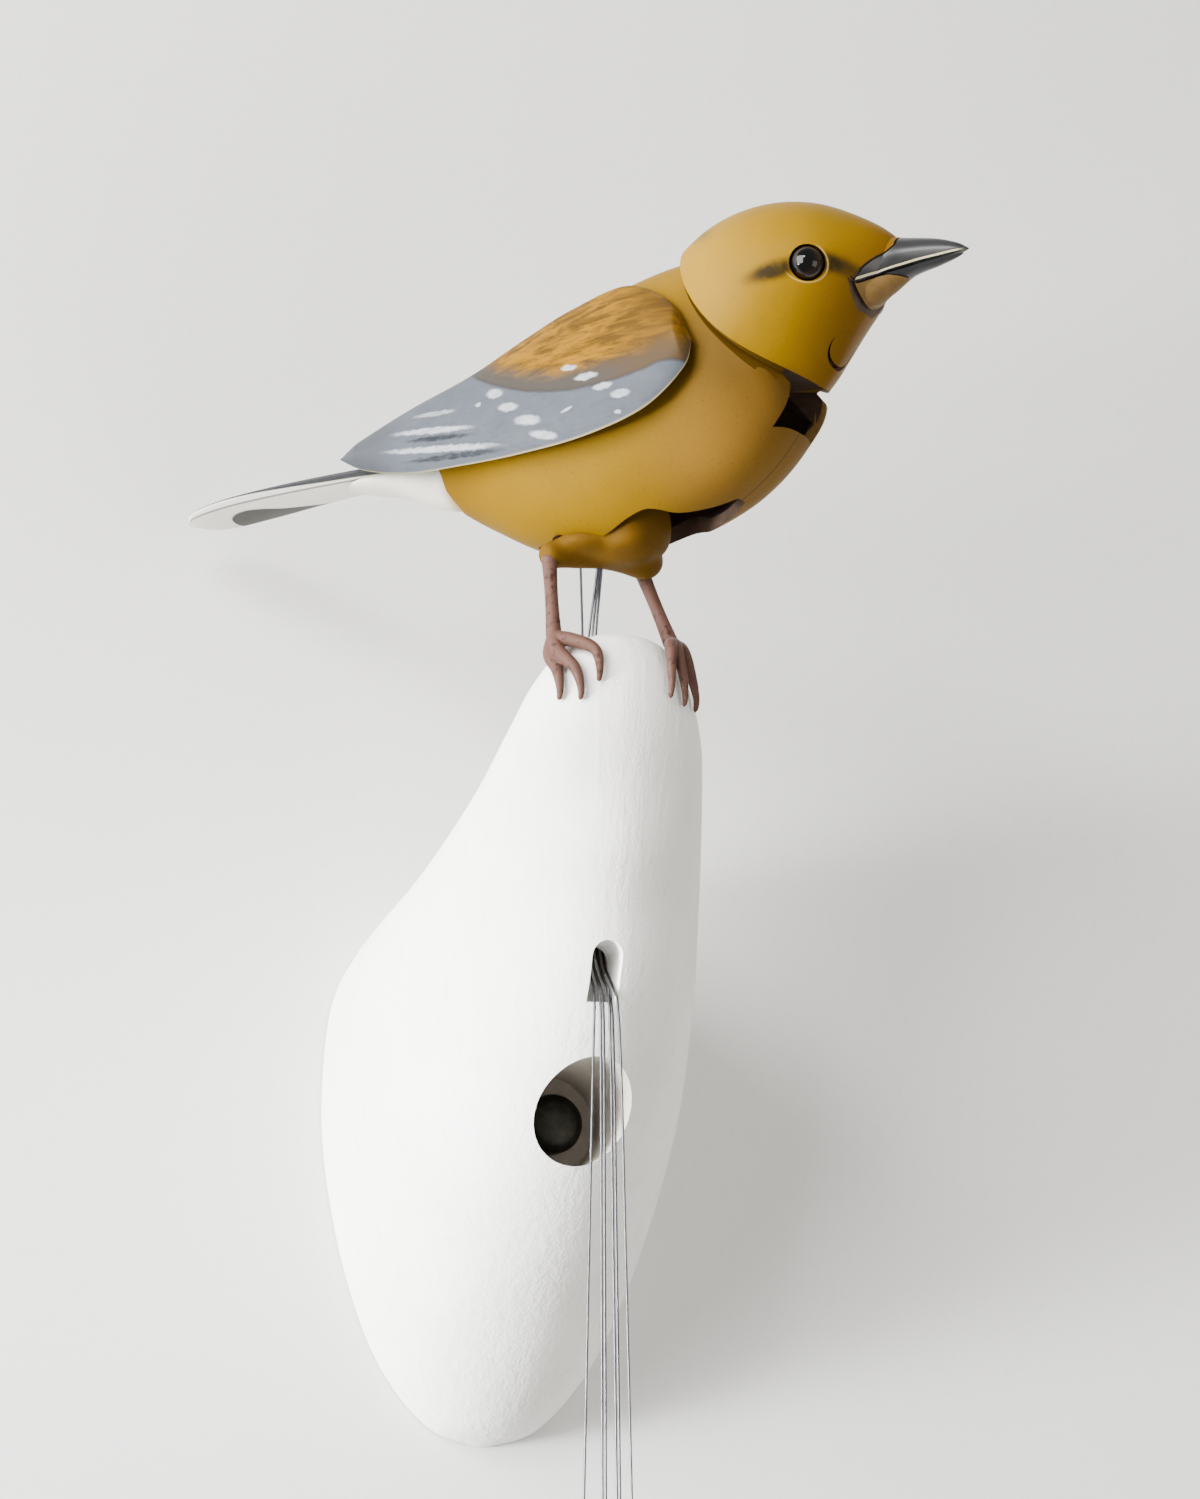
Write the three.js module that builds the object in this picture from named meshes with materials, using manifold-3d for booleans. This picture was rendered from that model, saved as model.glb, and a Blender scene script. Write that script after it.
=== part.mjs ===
// An articulated songbird that stands on a carved wall perch, with control wires hanging from the perch.
// Millimetres, +Z up. The wall is the plane Y = 0, the viewer is on the -Y side, and the bracket is centred on X = 0.
import * as THREE from "three";
import { mergeVertices } from "three/addons/utils/BufferGeometryUtils.js";
import Module from "manifold-3d";

const wasm = await Module();
wasm.setup();

// Perch: one row for each level of the carved form, with a level's half width, half depth and centre.
const perchLevels = [
  { z: -57, halfWidth: 0, halfDepth: 0, centreY: 1 },
  { z: -53.5, halfWidth: 9.6, halfDepth: 7.5, centreY: 1 },
  { z: -43, halfWidth: 18.2, halfDepth: 18.5, centreY: 1 },
  { z: -27, halfWidth: 24.2, halfDepth: 34, centreY: 1 },
  { z: -8, halfWidth: 27.6, halfDepth: 50, centreY: 0 },
  { z: 10, halfWidth: 27.2, halfDepth: 55, centreY: -6 },
  { z: 22, halfWidth: 24.9, halfDepth: 45, centreY: -19 },
  { z: 31, halfWidth: 21.2, halfDepth: 31, centreY: -36 },
  { z: 40.5, halfWidth: 18, halfDepth: 19, centreY: -49.5 },
  { z: 49, halfWidth: 15.4, halfDepth: 14, centreY: -57 },
  { z: 57, halfWidth: 12, halfDepth: 11, centreY: -60.6 },
  { z: 62.4, halfWidth: 7.4, halfDepth: 6.8, centreY: -62.4 },
  { z: 64.8, halfWidth: 0, halfDepth: 0, centreY: -63 },
];
const perchAround = 30;
const perchAlong = 26;

// Wire slot and channel through the perch.
const slotHalfWidth = 2.4;
const slotBottomZ = 7.2;
const slotArchZ = 14;
const slotX = -1.1;
const slotFrontY = -70;
const slotDeepY = -50.5;
const channelRadius = 2.7;
const channelPath = [
  [-1, -54.6, 63],
  [-1, -54.6, 50],
  [-0.5, -51.5, 34],
  [-0.6, -52, 20],
  [-1.1, -54.5, 12],
];

// Fixing recess and its bolt.
const recessRadius = 7.8;
const recessZ = -8.3;
const recessFloorY = -31;
const boltHeadRadius = 4.7;
const boltHeadLength = 5;
const boltShankRadius = 2;
const boltHoleRadius = 2.4;
const boltBackY = -0.4;
const boltHeadGap = 0.3;

// The bird's own frame: x forward along the bird, y to its left, z up, turned out from the wall.
const birdX = 0.5;
const birdY = -64;
const birdTurn = THREE.MathUtils.degToRad(-47);

// Body stations from the tail root to the neck: back line, belly line and half width.
const bodyStations = [
  { back: [-38, 95.5], belly: [-38, 95.5], halfWidth: 0 },
  { back: [-31, 98.8], belly: [-29.5, 88.2], halfWidth: 5.4 },
  { back: [-21.5, 106.4], belly: [-21.4, 83], halfWidth: 9.6 },
  { back: [-12.6, 112.4], belly: [-12.6, 78.8], halfWidth: 12.5 },
  { back: [-3.7, 117], belly: [-1.5, 77.4], halfWidth: 13.9 },
  { back: [5.1, 120], belly: [10, 79], halfWidth: 14.3 },
  { back: [12, 121.6], belly: [21.1, 83.5], halfWidth: 14.1 },
  { back: [17.5, 122], belly: [29.1, 90.6], halfWidth: 13.4 },
  { back: [22, 120.5], belly: [32.7, 98.4], halfWidth: 11.8 },
  { back: [28, 110], belly: [28, 110], halfWidth: 0 },
];
const backFullness = 0.88;
const bellyFullness = 0.7;
const bodyWall = 1.7;
const neckX = 23.9;
const neckZ = 111.7;
const neckRadius = 14.9;
const neckHalfWidth = 13.1;
const neckGap = 0.5;

// Head stations from behind the rim to the front of the face.
const headStations = [
  { back: [17, 105], belly: [17, 105], halfWidth: 0 },
  { back: [7.6, 117.6], belly: [28.4, 92.9], halfWidth: 12.5 },
  { back: [13, 123.7], belly: [34.9, 99.3], halfWidth: 14.6 },
  { back: [19.9, 127.8], belly: [37.8, 103.4], halfWidth: 14.8 },
  { back: [28, 129.3], belly: [40, 107], halfWidth: 14 },
  { back: [35.7, 128.3], belly: [41.8, 109.7], halfWidth: 12.1 },
  { back: [42.8, 125.1], belly: [43.5, 112], halfWidth: 8.2 },
  { back: [47.2, 121.9], belly: [46, 113.8], halfWidth: 4.2 },
  { back: [49.2, 118.6], belly: [49.2, 118.6], halfWidth: 0 },
];
const throatFullness = 1.3;
const rimBack = [14.1, 124.3];
const rimThroat = [34.7, 99.5];
const rimBow = 4.4;
const headHalfWidth = 14.8;

// Bill stations, from inside the face to the tip.
const billStations = [
  { back: [39, 117], belly: [39, 117], halfWidth: 0 },
  { back: [42.5, 121.4], belly: [42.5, 111.6], halfWidth: 4.6 },
  { back: [46, 121.8], belly: [46, 112.9], halfWidth: 4.2 },
  { back: [49.5, 121.3], belly: [49.8, 115.2], halfWidth: 3 },
  { back: [54, 120.6], belly: [54, 116.2], halfWidth: 1.8 },
  { back: [57.4, 119.5], belly: [57.4, 117.2], halfWidth: 0.9 },
  { back: [59.4, 118.3], belly: [59.4, 118.3], halfWidth: 0 },
];
const gapeLine = [[42.8, 113.8], [44.5, 114.6], [47, 115.6], [50.9, 116.7], [55, 117.45], [59.6, 118.25]];
const faceLine = [[48.5, 121.4], [48.4, 119.6], [47.3, 118.4], [45.9, 117.2], [44.3, 115.7]];
const chinLine = [[39.8, 113.6], [42.8, 113.6], [44.4, 114.45], [47.2, 115.05], [50.8, 114.85], [62, 112]];
const farAbove = [[70, 119.5], [62, 130], [49, 130]];
const farBelow = [[70, 118], [62, 104]];
const chinBack = [42.7, 110.9];
const chinBottom = [46, 112.3];
const jawRoomBack = [[47, 109.7], [41.8, 110], [42.3, 114.2]];
const pieceGap = 0.34;

// Eyes, throat button and hip block.
const eyeX = 37.4;
const eyeZ = 115.9;
const eyeY = 11.5;
const eyeRadius = 2.6;
const buttonX = 39.1;
const buttonZ = 105.2;
const buttonTurn = 28;
const buttonHalfWidth = 4.2;
const buttonRadius = 2.9;
const buttonHalfThickness = 0.9;
const hipMiddleX = -2.6;
const hipReach = 9.9;
const hipTopZ = 84.5;
const hipBottomZ = 76.2;
const hipRoom = 0.7;
const hipBar = [
  [-8.5, -8.8, 76],
  [-6.8, -5.6, 75.8],
  [-4.8, -2.5, 77],
  [-3.2, 0.5, 78],
  [-1.6, 3.5, 78.2],
  [-0.6, 6.2, 77.8],
  [-0.5, 8.9, 77.5],
];
const hipBarReach = [2.9, 2, 2.5, 2.9, 3.2, 3.1, 2.8];

// Throat notch, belly opening, the room that the moving head keeps and the solid neck below the rim.
const notchHalfWidth = 6.6;
const notchOutline = [[26, 91.4], [42, 96], [42, 101.6], [26, 101.6]];
const openingX = [-13.5, -12.8, -10, -5.2, 0, 5, 8.6, 10.6, 12.5, 16.5, 20.8];
const openingHalfWidths = [1.2, 3.2, 4.1, 4.7, 6.4, 8.3, 8.7, 7.9, 6.4, 4, 1.3];
const openingTopZ = 88;
const headRoomShare = 1.05;
const rimClearance = 1.4;
const neckDepth = 5;

// Room for the tail's root in the rear mouth.
const tailRoomX = -27.5;
const tailRoomZ = 92.4;
const tailRoomHalfWidth = 6;
const tailRoomHalfHeight = 6.2;

// Legs: where each meets the hip block, and its foot on the dome as a bearing in the view and a height.
const domeView = 20;
const nearLegShape = {
  hip: [-8, -9, 76],
  ankle: [-6.9, -9.4, 62.6],
  toes: [
    [[-50, 59.4], [-36, 56.6], [-28, 53.4]],
    [[-40, 59.4], [-22, 56.6], [-14, 53.2]],
    [[-34, 62.4], [-10, 60.4], [-4, 56.4]],
    [[-125, 61.5], [-150, 58]],
  ],
};
const farLegShape = {
  hip: [-1.3, 8.8, 77.4],
  ankle: [4.2, 9.2, 64],
  toes: [
    [[52, 60.6], [47, 57.4], [44, 54.2]],
    [[60, 60.6], [58, 57], [56, 53.4]],
    [[74, 60.6], [73, 57], [70, 53.2]],
    [[118, 61], [136, 57]],
  ],
};

// Wing stations from the shoulder to the tip: upper edge and lower edge of the right wing.
const wingStations = [
  { upper: [19.9, -15.6, 105.2], lower: [19.9, -15.6, 105.2] },
  { upper: [15.6, -13.8, 112], lower: [18.9, -16.4, 100.6] },
  { upper: [7, -11.4, 116.6], lower: [12.6, -17.2, 94.9] },
  { upper: [-3.5, -9.6, 114.8], lower: [2.4, -17.2, 91.7] },
  { upper: [-13, -8.2, 111.4], lower: [-9.5, -15.6, 90.7] },
  { upper: [-23, -7, 107.2], lower: [-21, -13, 90.9] },
  { upper: [-34, -6.2, 103.5], lower: [-32, -10.4, 91.6] },
  { upper: [-42.4, -6, 99.8], lower: [-41.5, -8, 93.8] },
  { upper: [-47, -6.5, 96.6], lower: [-47, -6.5, 96.6] },
];
const wingBow = 1.9;
const wingHalfThickness = 0.7;

// Tail stations along the blade: centre, half width and half thickness.
const tailStations = [
  { x: -27, z: 94.4, halfWidth: 0, halfThickness: 0 },
  { x: -29, z: 94.6, halfWidth: 3.2, halfThickness: 1.1 },
  { x: -40, z: 94.9, halfWidth: 4.8, halfThickness: 1.1 },
  { x: -54, z: 94, halfWidth: 6.2, halfThickness: 1 },
  { x: -67, z: 92.6, halfWidth: 6.9, halfThickness: 0.9 },
  { x: -75, z: 91.4, halfWidth: 5.4, halfThickness: 0.8 },
  { x: -79, z: 90.9, halfWidth: 0, halfThickness: 0 },
];
const covertStations = [
  { back: [-21, 90.5], belly: [-21, 90.5], halfWidth: 0 },
  { back: [-24, 94], belly: [-24, 87.6], halfWidth: 3.4 },
  { back: [-31, 95.6], belly: [-31, 87.9], halfWidth: 4.6 },
  { back: [-38, 95.4], belly: [-38, 90.6], halfWidth: 4.6 },
  { back: [-45, 94.6], belly: [-45, 92.3], halfWidth: 4.2 },
  { back: [-52, 93.8], belly: [-52, 93.8], halfWidth: 0 },
];

// Control wires.
const wireCount = 6;
const wireRadius = 0.2;
const wireTopX = -3.5;
const wireTopZ = 74.3;
const wireEndZ = -82;
const wireStep = 2.2;
const wireLean = [-2.6, -0.6, -0.2, 0.4, 0.8, 1.6];
const beadRadius = 0.75;

const bodyColour = 0xc8920f;
const headColour = 0xd2a11f;
const legColour = 0xa3786a;
const wireColour = 0x6a6a6c;

// A smooth value between rows: a Catmull-Rom curve through one column.
function rowValue(values, t) {
  const last = values.length - 1;
  const place = Math.min(last, Math.max(0, t * last));
  const i = Math.min(last - 1, Math.floor(place));
  const u = place - i;
  const p1 = values[i];
  const p2 = values[i + 1];
  const p0 = i > 0 ? values[i - 1] : 2 * p1 - p2;
  const p3 = i < last - 1 ? values[i + 2] : 2 * p2 - p1;
  const bend = 2 * p0 - 5 * p1 + 4 * p2 - p3;
  const twist = 3 * p1 - p0 - 3 * p2 + p3;
  return 0.5 * (2 * p1 + (p2 - p0) * u + bend * u * u + twist * u * u * u);
}

// Moves the ends of a column together, so that rounded ends stay round.
function easedEnds(t) {
  return (t + 0.5 - 0.5 * Math.cos(Math.PI * t)) / 2;
}

// A closed form: the grid of a sphere with each of its rows moved onto one ring of the form.
function loft(ring, around, along) {
  const geometry = new THREE.SphereGeometry(1, around, along);
  const position = geometry.getAttribute("position");
  const point = new THREE.Vector3();
  let vertex = 0;
  for (let row = 0; row <= along; row += 1) {
    for (let step = 0; step <= around; step += 1) {
      ring(row / along, (step / around) * Math.PI * 2, point);
      position.setXYZ(vertex, point.x, point.y, point.z);
      vertex += 1;
    }
  }
  return geometry;
}

function solidOf(geometry) {
  const bare = geometry.clone();
  bare.deleteAttribute("normal");
  bare.deleteAttribute("uv");
  const merged = mergeVertices(bare, 1e-4);
  const corners = Array.from(merged.index.array);
  const kept = [];
  for (let i = 0; i < corners.length; i += 3) {
    const [a, b, c] = corners.slice(i, i + 3);
    if (a !== b && b !== c && a !== c) kept.push(a, b, c);
  }
  const vertProperties = merged.getAttribute("position").array;
  const made = new wasm.Manifold(
    new wasm.Mesh({ numProp: 3, vertProperties, triVerts: new Uint32Array(kept) }),
  );
  if (made.volume() > 0) return made;
  kept.reverse();
  return new wasm.Manifold(
    new wasm.Mesh({ numProp: 3, vertProperties, triVerts: new Uint32Array(kept) }),
  );
}

function geometryOf(solid) {
  const mesh = solid.getMesh();
  const geometry = new THREE.BufferGeometry();
  const points = new Float32Array(mesh.numVert * 3);
  for (let i = 0; i < mesh.numVert; i += 1) {
    points.set(mesh.vertProperties.subarray(i * mesh.numProp, i * mesh.numProp + 3), i * 3);
  }
  geometry.setAttribute("position", new THREE.BufferAttribute(points, 3));
  geometry.setIndex(new THREE.BufferAttribute(new Uint32Array(mesh.triVerts), 1));
  const flat = geometry.toNonIndexed();
  flat.computeVertexNormals();
  return flat;
}

// The largest of a cut's pieces, without the slivers that a cut can leave.
function mainPiece(solid) {
  const pieces = solid.decompose();
  return pieces.reduce((best, piece) => (piece.volume() > best.volume() ? piece : best));
}

function mirrored(solid) {
  return solid.mirror([0, 1, 0]);
}

function box(centre, size) {
  const geometry = new THREE.BoxGeometry(size[0], size[1], size[2]);
  geometry.translate(centre[0], centre[1], centre[2]);
  return solidOf(geometry);
}

function ellipsoid(centre, halves, around = 24, along = 14) {
  const geometry = new THREE.SphereGeometry(1, around, along);
  geometry.scale(halves[0], halves[1], halves[2]);
  geometry.translate(centre[0], centre[1], centre[2]);
  return solidOf(geometry);
}

// A slab of the sagittal plane: an outline in x and z, extruded across the bird.
function slab(outline, halfAcross = 40) {
  const shape = new THREE.Shape(outline.map(([x, z]) => new THREE.Vector2(x, z)));
  const geometry = new THREE.ExtrudeGeometry(shape, { depth: 2 * halfAcross, bevelEnabled: false });
  geometry.translate(0, 0, -halfAcross);
  geometry.rotateX(Math.PI / 2);
  return solidOf(geometry);
}

// A form from stations that name a back point, a belly point and a half width.
function stationForm(stations, inset, around, along, fullness = [1, 1]) {
  const backX = stations.map((s) => s.back[0]);
  const backZ = stations.map((s) => s.back[1]);
  const bellyX = stations.map((s) => s.belly[0]);
  const bellyZ = stations.map((s) => s.belly[1]);
  const widths = stations.map((s) => s.halfWidth);
  const ring = (row, angle, point) => {
    const t = easedEnds(row);
    const upX = rowValue(backX, t);
    const upZ = rowValue(backZ, t);
    const downX = rowValue(bellyX, t);
    const downZ = rowValue(bellyZ, t);
    const tall = Math.hypot(upX - downX, upZ - downZ) / 2;
    const shrink = tall > 0 ? Math.max(0, tall - inset) / tall : 0;
    const across = Math.max(0, rowValue(widths, t) - inset);
    const lift = Math.cos(angle) * shrink;
    const bulge = Math.abs(Math.sin(angle)) ** (lift > 0 ? fullness[0] : fullness[1]);
    point.set(
      (upX + downX) / 2 + (lift * (upX - downX)) / 2,
      tall > 0 ? Math.sign(Math.sin(angle)) * bulge * across : 0,
      (upZ + downZ) / 2 + (lift * (upZ - downZ)) / 2,
    );
  };
  const form = loft(ring, around, along);
  return solidOf(form);
}

// A flat blade from stations that name a centre, a half width and a half thickness.
function stationFormAcross(stations) {
  const column = (key) => stations.map((row) => row[key]);
  const ring = (row, angle, point) => {
    const t = easedEnds(row);
    const end = row === 0 || row === 1;
    const across = end ? 0 : Math.max(0, rowValue(column("halfWidth"), t));
    const thick = end ? 0 : Math.max(0, rowValue(column("halfThickness"), t));
    point.set(
      rowValue(column("x"), t),
      Math.cos(angle) * across,
      rowValue(column("z"), t) + Math.sin(angle) * thick,
    );
  };
  return solidOf(loft(ring, 14, 12));
}

// The belly opening's half width at one place along the bird.
function openingHalfWidth(x) {
  const next = openingX.findIndex((place) => place >= x);
  const i = Math.min(openingX.length - 1, Math.max(1, next));
  const share = (x - openingX[i - 1]) / (openingX[i] - openingX[i - 1]);
  return openingHalfWidths[i - 1] + (openingHalfWidths[i] - openingHalfWidths[i - 1]) * share;
}

// The hip block's middle, which fills the rear of the belly opening.
function hipMiddle(extra) {
  const squareness = 0.7;
  const blunt = (value) => Math.sign(value) * Math.abs(value) ** squareness;
  const middleZ = (hipTopZ + hipBottomZ) / 2;
  const ring = (row, angle, point) => {
    const end = row === 0 || row === 1;
    const out = end ? 0 : blunt(Math.sin(row * Math.PI));
    const along = hipMiddleX + hipReach * blunt(Math.cos(angle));
    const across = (openingHalfWidth(along) - hipRoom) * blunt(Math.sin(angle));
    point.set(
      hipMiddleX + (hipReach + extra) * out * blunt(Math.cos(angle)),
      (across + Math.sign(across) * extra) * out,
      middleZ + ((hipTopZ - hipBottomZ) / 2 + extra) * blunt(Math.cos(row * Math.PI)),
    );
  };
  return solidOf(loft(ring, 16, 8));
}

// The bar below the body that ends in the two leg cuffs.
function hipCuffs(extra) {
  const reachAt = (t) => {
    const end = Math.min(1, t / 0.16, (1 - t) / 0.16);
    return (rowValue(hipBarReach, t) + extra) * Math.sqrt(1 - 0.6 * (1 - end) ** 2);
  };
  const first = hipBar[0].map((value, i) => value + (value - hipBar[1][i]) * 0.3);
  const last = hipBar[6].map((value, i) => value + (value - hipBar[5][i]) * 0.3);
  return taperedLimb([first, ...hipBar, last], reachAt, 12, 12);
}

// A limb that tapers along a curve, with rounded ends.
function taperedLimb(points, radiusAt, around, along) {
  const curve = new THREE.CatmullRomCurve3(points.map((p) => new THREE.Vector3(...p)));
  const frames = curve.computeFrenetFrames(along, false);
  const ring = (row, angle, point) => {
    const index = Math.round(row * along);
    const centre = curve.getPointAt(row);
    const reach = index === 0 || index === along ? 0 : radiusAt(row);
    point.copy(centre);
    point.addScaledVector(frames.normals[index], Math.cos(angle) * reach);
    point.addScaledVector(frames.binormals[index], Math.sin(angle) * reach);
  };
  return solidOf(loft(ring, around, along));
}

function wireAlong(points, radius, steps) {
  const curve = new THREE.CatmullRomCurve3(points.map((p) => new THREE.Vector3(...p)));
  const round = new THREE.Shape();
  round.absarc(0, 0, radius, 0, Math.PI * 2);
  return new THREE.ExtrudeGeometry(round, {
    steps,
    curveSegments: 4,
    extrudePath: curve,
    bevelEnabled: false,
  });
}

function finish(colour, roughness, metalness = 0) {
  return new THREE.MeshStandardMaterial({ color: colour, roughness, metalness });
}

const sculpture = new THREE.Group();
const bird = new THREE.Group();
bird.position.set(birdX, birdY, 0);
bird.rotation.z = birdTurn;
sculpture.add(bird);

function addPiece(parent, name, geometry, material) {
  const mesh = new THREE.Mesh(geometry, material);
  mesh.name = name;
  parent.add(mesh);
}

// From the bird's frame to the wall's.
function toWall(x, y, z) {
  const point = new THREE.Vector3(x, y, z);
  point.applyAxisAngle(new THREE.Vector3(0, 0, 1), birdTurn);
  point.add(new THREE.Vector3(birdX, birdY, 0));
  return point.toArray();
}

// Perch.
const perchT = (z) => {
  let low = 0;
  let high = 1;
  const levels = perchLevels.map((row) => row.z);
  for (let i = 0; i < 40; i += 1) {
    const middle = (low + high) / 2;
    if (rowValue(levels, middle) < z) low = middle;
    else high = middle;
  }
  return low;
};

function perchPoint(t, angle) {
  const width = Math.max(0, rowValue(perchLevels.map((row) => row.halfWidth), t));
  const depth = Math.max(0, rowValue(perchLevels.map((row) => row.halfDepth), t));
  const centreY = rowValue(perchLevels.map((row) => row.centreY), t);
  const z = rowValue(perchLevels.map((row) => row.z), t);
  return [width * Math.cos(angle), centreY + depth * Math.sin(angle), z];
}

function perchForm() {
  const ring = (row, angle, point) => {
    const t = row;
    const [x, y, z] = perchPoint(t, angle);
    const end = row === 0 || row === 1;
    point.set(end ? 0 : x, end ? perchPoint(t, 0)[1] : y, z);
  };
  return solidOf(loft(ring, perchAround, perchAlong));
}

function slotCutter() {
  const shape = new THREE.Shape();
  shape.moveTo(-slotHalfWidth, slotBottomZ);
  shape.lineTo(slotHalfWidth, slotBottomZ);
  shape.lineTo(slotHalfWidth, slotArchZ);
  shape.absarc(0, slotArchZ, slotHalfWidth, 0, Math.PI);
  const geometry = new THREE.ExtrudeGeometry(shape, {
    depth: slotDeepY - slotFrontY,
    bevelEnabled: false,
    curveSegments: 8,
  });
  geometry.rotateX(Math.PI / 2);
  geometry.translate(slotX, slotDeepY, 0);
  return solidOf(geometry);
}

function cylinderAlongY(radius, fromY, toY, z, sides) {
  const geometry = new THREE.CylinderGeometry(radius, radius, toY - fromY, sides);
  geometry.translate(0, (fromY + toY) / 2, z);
  return solidOf(geometry);
}

const behindWall = box([0, 20, 0], [120, 40, 200]);
const channel = solidOf(wireAlong(channelPath, channelRadius, 14));
const perch = perchForm()
  .subtract(behindWall)
  .subtract(slotCutter())
  .subtract(channel)
  .subtract(cylinderAlongY(recessRadius, -70, recessFloorY, recessZ, 32))
  .subtract(cylinderAlongY(boltHoleRadius, -40, 5, recessZ, 16));
addPiece(sculpture, "perch", geometryOf(mainPiece(perch)), finish(0xf2f3f2, 0.85));

const boltFrontY = recessFloorY - boltHeadLength;
const boltHead = cylinderAlongY(boltHeadRadius, boltFrontY, recessFloorY - boltHeadGap, recessZ, 24);
const boltShank = cylinderAlongY(boltShankRadius, recessFloorY - 1, boltBackY, recessZ, 16);
addPiece(sculpture, "fixing_bolt", geometryOf(boltHead.add(boltShank)), finish(0x1e1f1d, 0.45, 0.6));

// Head form and the cuts that part it into head, bill and jaw.
const rimRun = [rimThroat[0] - rimBack[0], rimThroat[1] - rimBack[1]];
const rimLength = Math.hypot(...rimRun);
const rimAlong = [rimRun[0] / rimLength, rimRun[1] / rimLength];
const rimOut = [rimAlong[1], -rimAlong[0]];

// A point measured along the rim from the nape and out from it, away from the head.
function rimPoint(along, out) {
  return [
    rimBack[0] + rimAlong[0] * along + rimOut[0] * out,
    rimBack[1] + rimAlong[1] * along + rimOut[1] * out,
  ];
}

// All that lies beyond the rim: an outline across the bird, bowed outwards at the flanks, run along the rim.
function belowRim(offset) {
  const shape = new THREE.Shape();
  const across = [-20, -15, -10, -5, 0, 5, 10, 15, 20];
  shape.moveTo(-20, 60);
  across.forEach((y) => shape.lineTo(y, offset + rimBow * (y / headHalfWidth) ** 2));
  shape.lineTo(20, 60);
  const geometry = new THREE.ExtrudeGeometry(shape, { depth: 130, bevelEnabled: false });
  const place = new THREE.Matrix4().makeBasis(
    new THREE.Vector3(0, 1, 0),
    new THREE.Vector3(rimOut[0], 0, rimOut[1]),
    new THREE.Vector3(rimAlong[0], 0, rimAlong[1]),
  );
  const [x, z] = rimPoint(-45, 0);
  geometry.applyMatrix4(place);
  geometry.translate(x, 0, z);
  return solidOf(geometry);
}

const headOuter = stationForm(headStations, 0, 22, 14, [1, throatFullness]);
const billForm = stationForm(billStations, 0, 16, 10);
const faceForm = headOuter.add(billForm);
const billRegion = slab([...gapeLine, ...farAbove, ...faceLine]);
const jawRegion = slab([...gapeLine, ...farBelow, chinBottom, chinBack]);
const jawRoom = slab([...gapeLine, ...farBelow, ...jawRoomBack]);

// Grows an outline's cut by the gap that neighbouring pieces keep.
function grown(region, gap) {
  const steps = [[gap, 0], [-gap, 0], [0, gap], [0, -gap]];
  return steps.reduce((sum, [x, z]) => sum.add(region.translate([x, 0, z])), region);
}

const neckBall = ellipsoid([neckX, 0, neckZ], [neckRadius, neckHalfWidth, neckRadius], 20, 14);
const neckCavity = ellipsoid(
  [neckX, 0, neckZ],
  [neckRadius + neckGap, neckHalfWidth + neckGap, neckRadius + neckGap],
  20,
  14,
);
const socketRadius = eyeRadius + 0.35;
const eyeSocket = ellipsoid([eyeX, -eyeY, eyeZ], [socketRadius, socketRadius, socketRadius], 12, 8);
const throatButton = ellipsoid([0, 0, 0], [buttonHalfThickness, buttonHalfWidth, buttonRadius], 14, 8);
const seatHalves = [buttonHalfThickness + 0.3, buttonHalfWidth + 0.4, buttonRadius + 0.4];
const buttonSeat = ellipsoid([0, 0, 0], seatHalves, 14, 8);
const seated = (piece) => piece.rotate([0, buttonTurn, 0]).translate([buttonX, 0, buttonZ]);
const head = faceForm
  .subtract(belowRim(0))
  .subtract(neckCavity)
  .subtract(grown(billRegion, pieceGap))
  .subtract(grown(jawRoom, pieceGap))
  .subtract(eyeSocket)
  .subtract(mirrored(eyeSocket))
  .subtract(seated(buttonSeat));
addPiece(bird, "head", geometryOf(head), finish(headColour, 0.5));

const upperBill = mainPiece(faceForm.intersect(billRegion));
addPiece(bird, "upper_bill", geometryOf(upperBill), finish(0x3a3a3c, 0.35));

const jaw = faceForm.intersect(jawRegion).subtract(grown(slab([...gapeLine, ...farAbove]), pieceGap));
const chinRegion = slab([...chinLine, [62, 100], [36, 100]]);
const lowerBill = mainPiece(jaw.subtract(grown(chinRegion, pieceGap / 2)));
const chin = mainPiece(jaw.intersect(chinRegion).subtract(grown(lowerBill, pieceGap / 2)));
addPiece(bird, "lower_bill", geometryOf(lowerBill), finish(0x3a3a3c, 0.35));
addPiece(bird, "chin_piece", geometryOf(chin), finish(0xb08a3a, 0.5));
addPiece(bird, "throat_button", geometryOf(seated(throatButton)), finish(0xc79a35, 0.5));

const eye = ellipsoid([eyeX, -eyeY, eyeZ], [eyeRadius, eyeRadius, eyeRadius], 12, 8);
addPiece(bird, "eye_near", geometryOf(eye), finish(0x0d0a08, 0.08));
addPiece(bird, "eye_far", geometryOf(mirrored(eye)), finish(0x0d0a08, 0.08));

// Body: a hollow shell with a rear mouth for the tail, a throat notch and a belly opening.
const bodyOuter = stationForm(bodyStations, 0, 24, 17, [backFullness, bellyFullness]);
const bodyInner = stationForm(bodyStations, bodyWall, 16, 11, [backFullness, bellyFullness]);
const rearCut = slab([[-32.4, 96], [-26.4, 86.6], [-30, 80], [-50, 80], [-50, 108], [-37, 103]]);
const notch = slab(notchOutline, notchHalfWidth);
const openingShape = new THREE.Shape(
  [1, -1].flatMap((side) => {
    const half = openingX.map((x, i) => new THREE.Vector2(x, side * openingHalfWidths[i]));
    return side > 0 ? half : half.reverse();
  }),
);
const openingGeometry = new THREE.ExtrudeGeometry(openingShape, { depth: 30, bevelEnabled: false });
openingGeometry.translate(0, 0, openingTopZ - 30);
const bellyOpening = solidOf(openingGeometry);
const aboutNeck = (solid, share) =>
  solid.translate([-neckX, 0, -neckZ]).scale([share, share, share]).translate([neckX, 0, neckZ]);
const headSweep = aboutNeck(headOuter, headRoomShare).subtract(belowRim(rimClearance));
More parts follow.
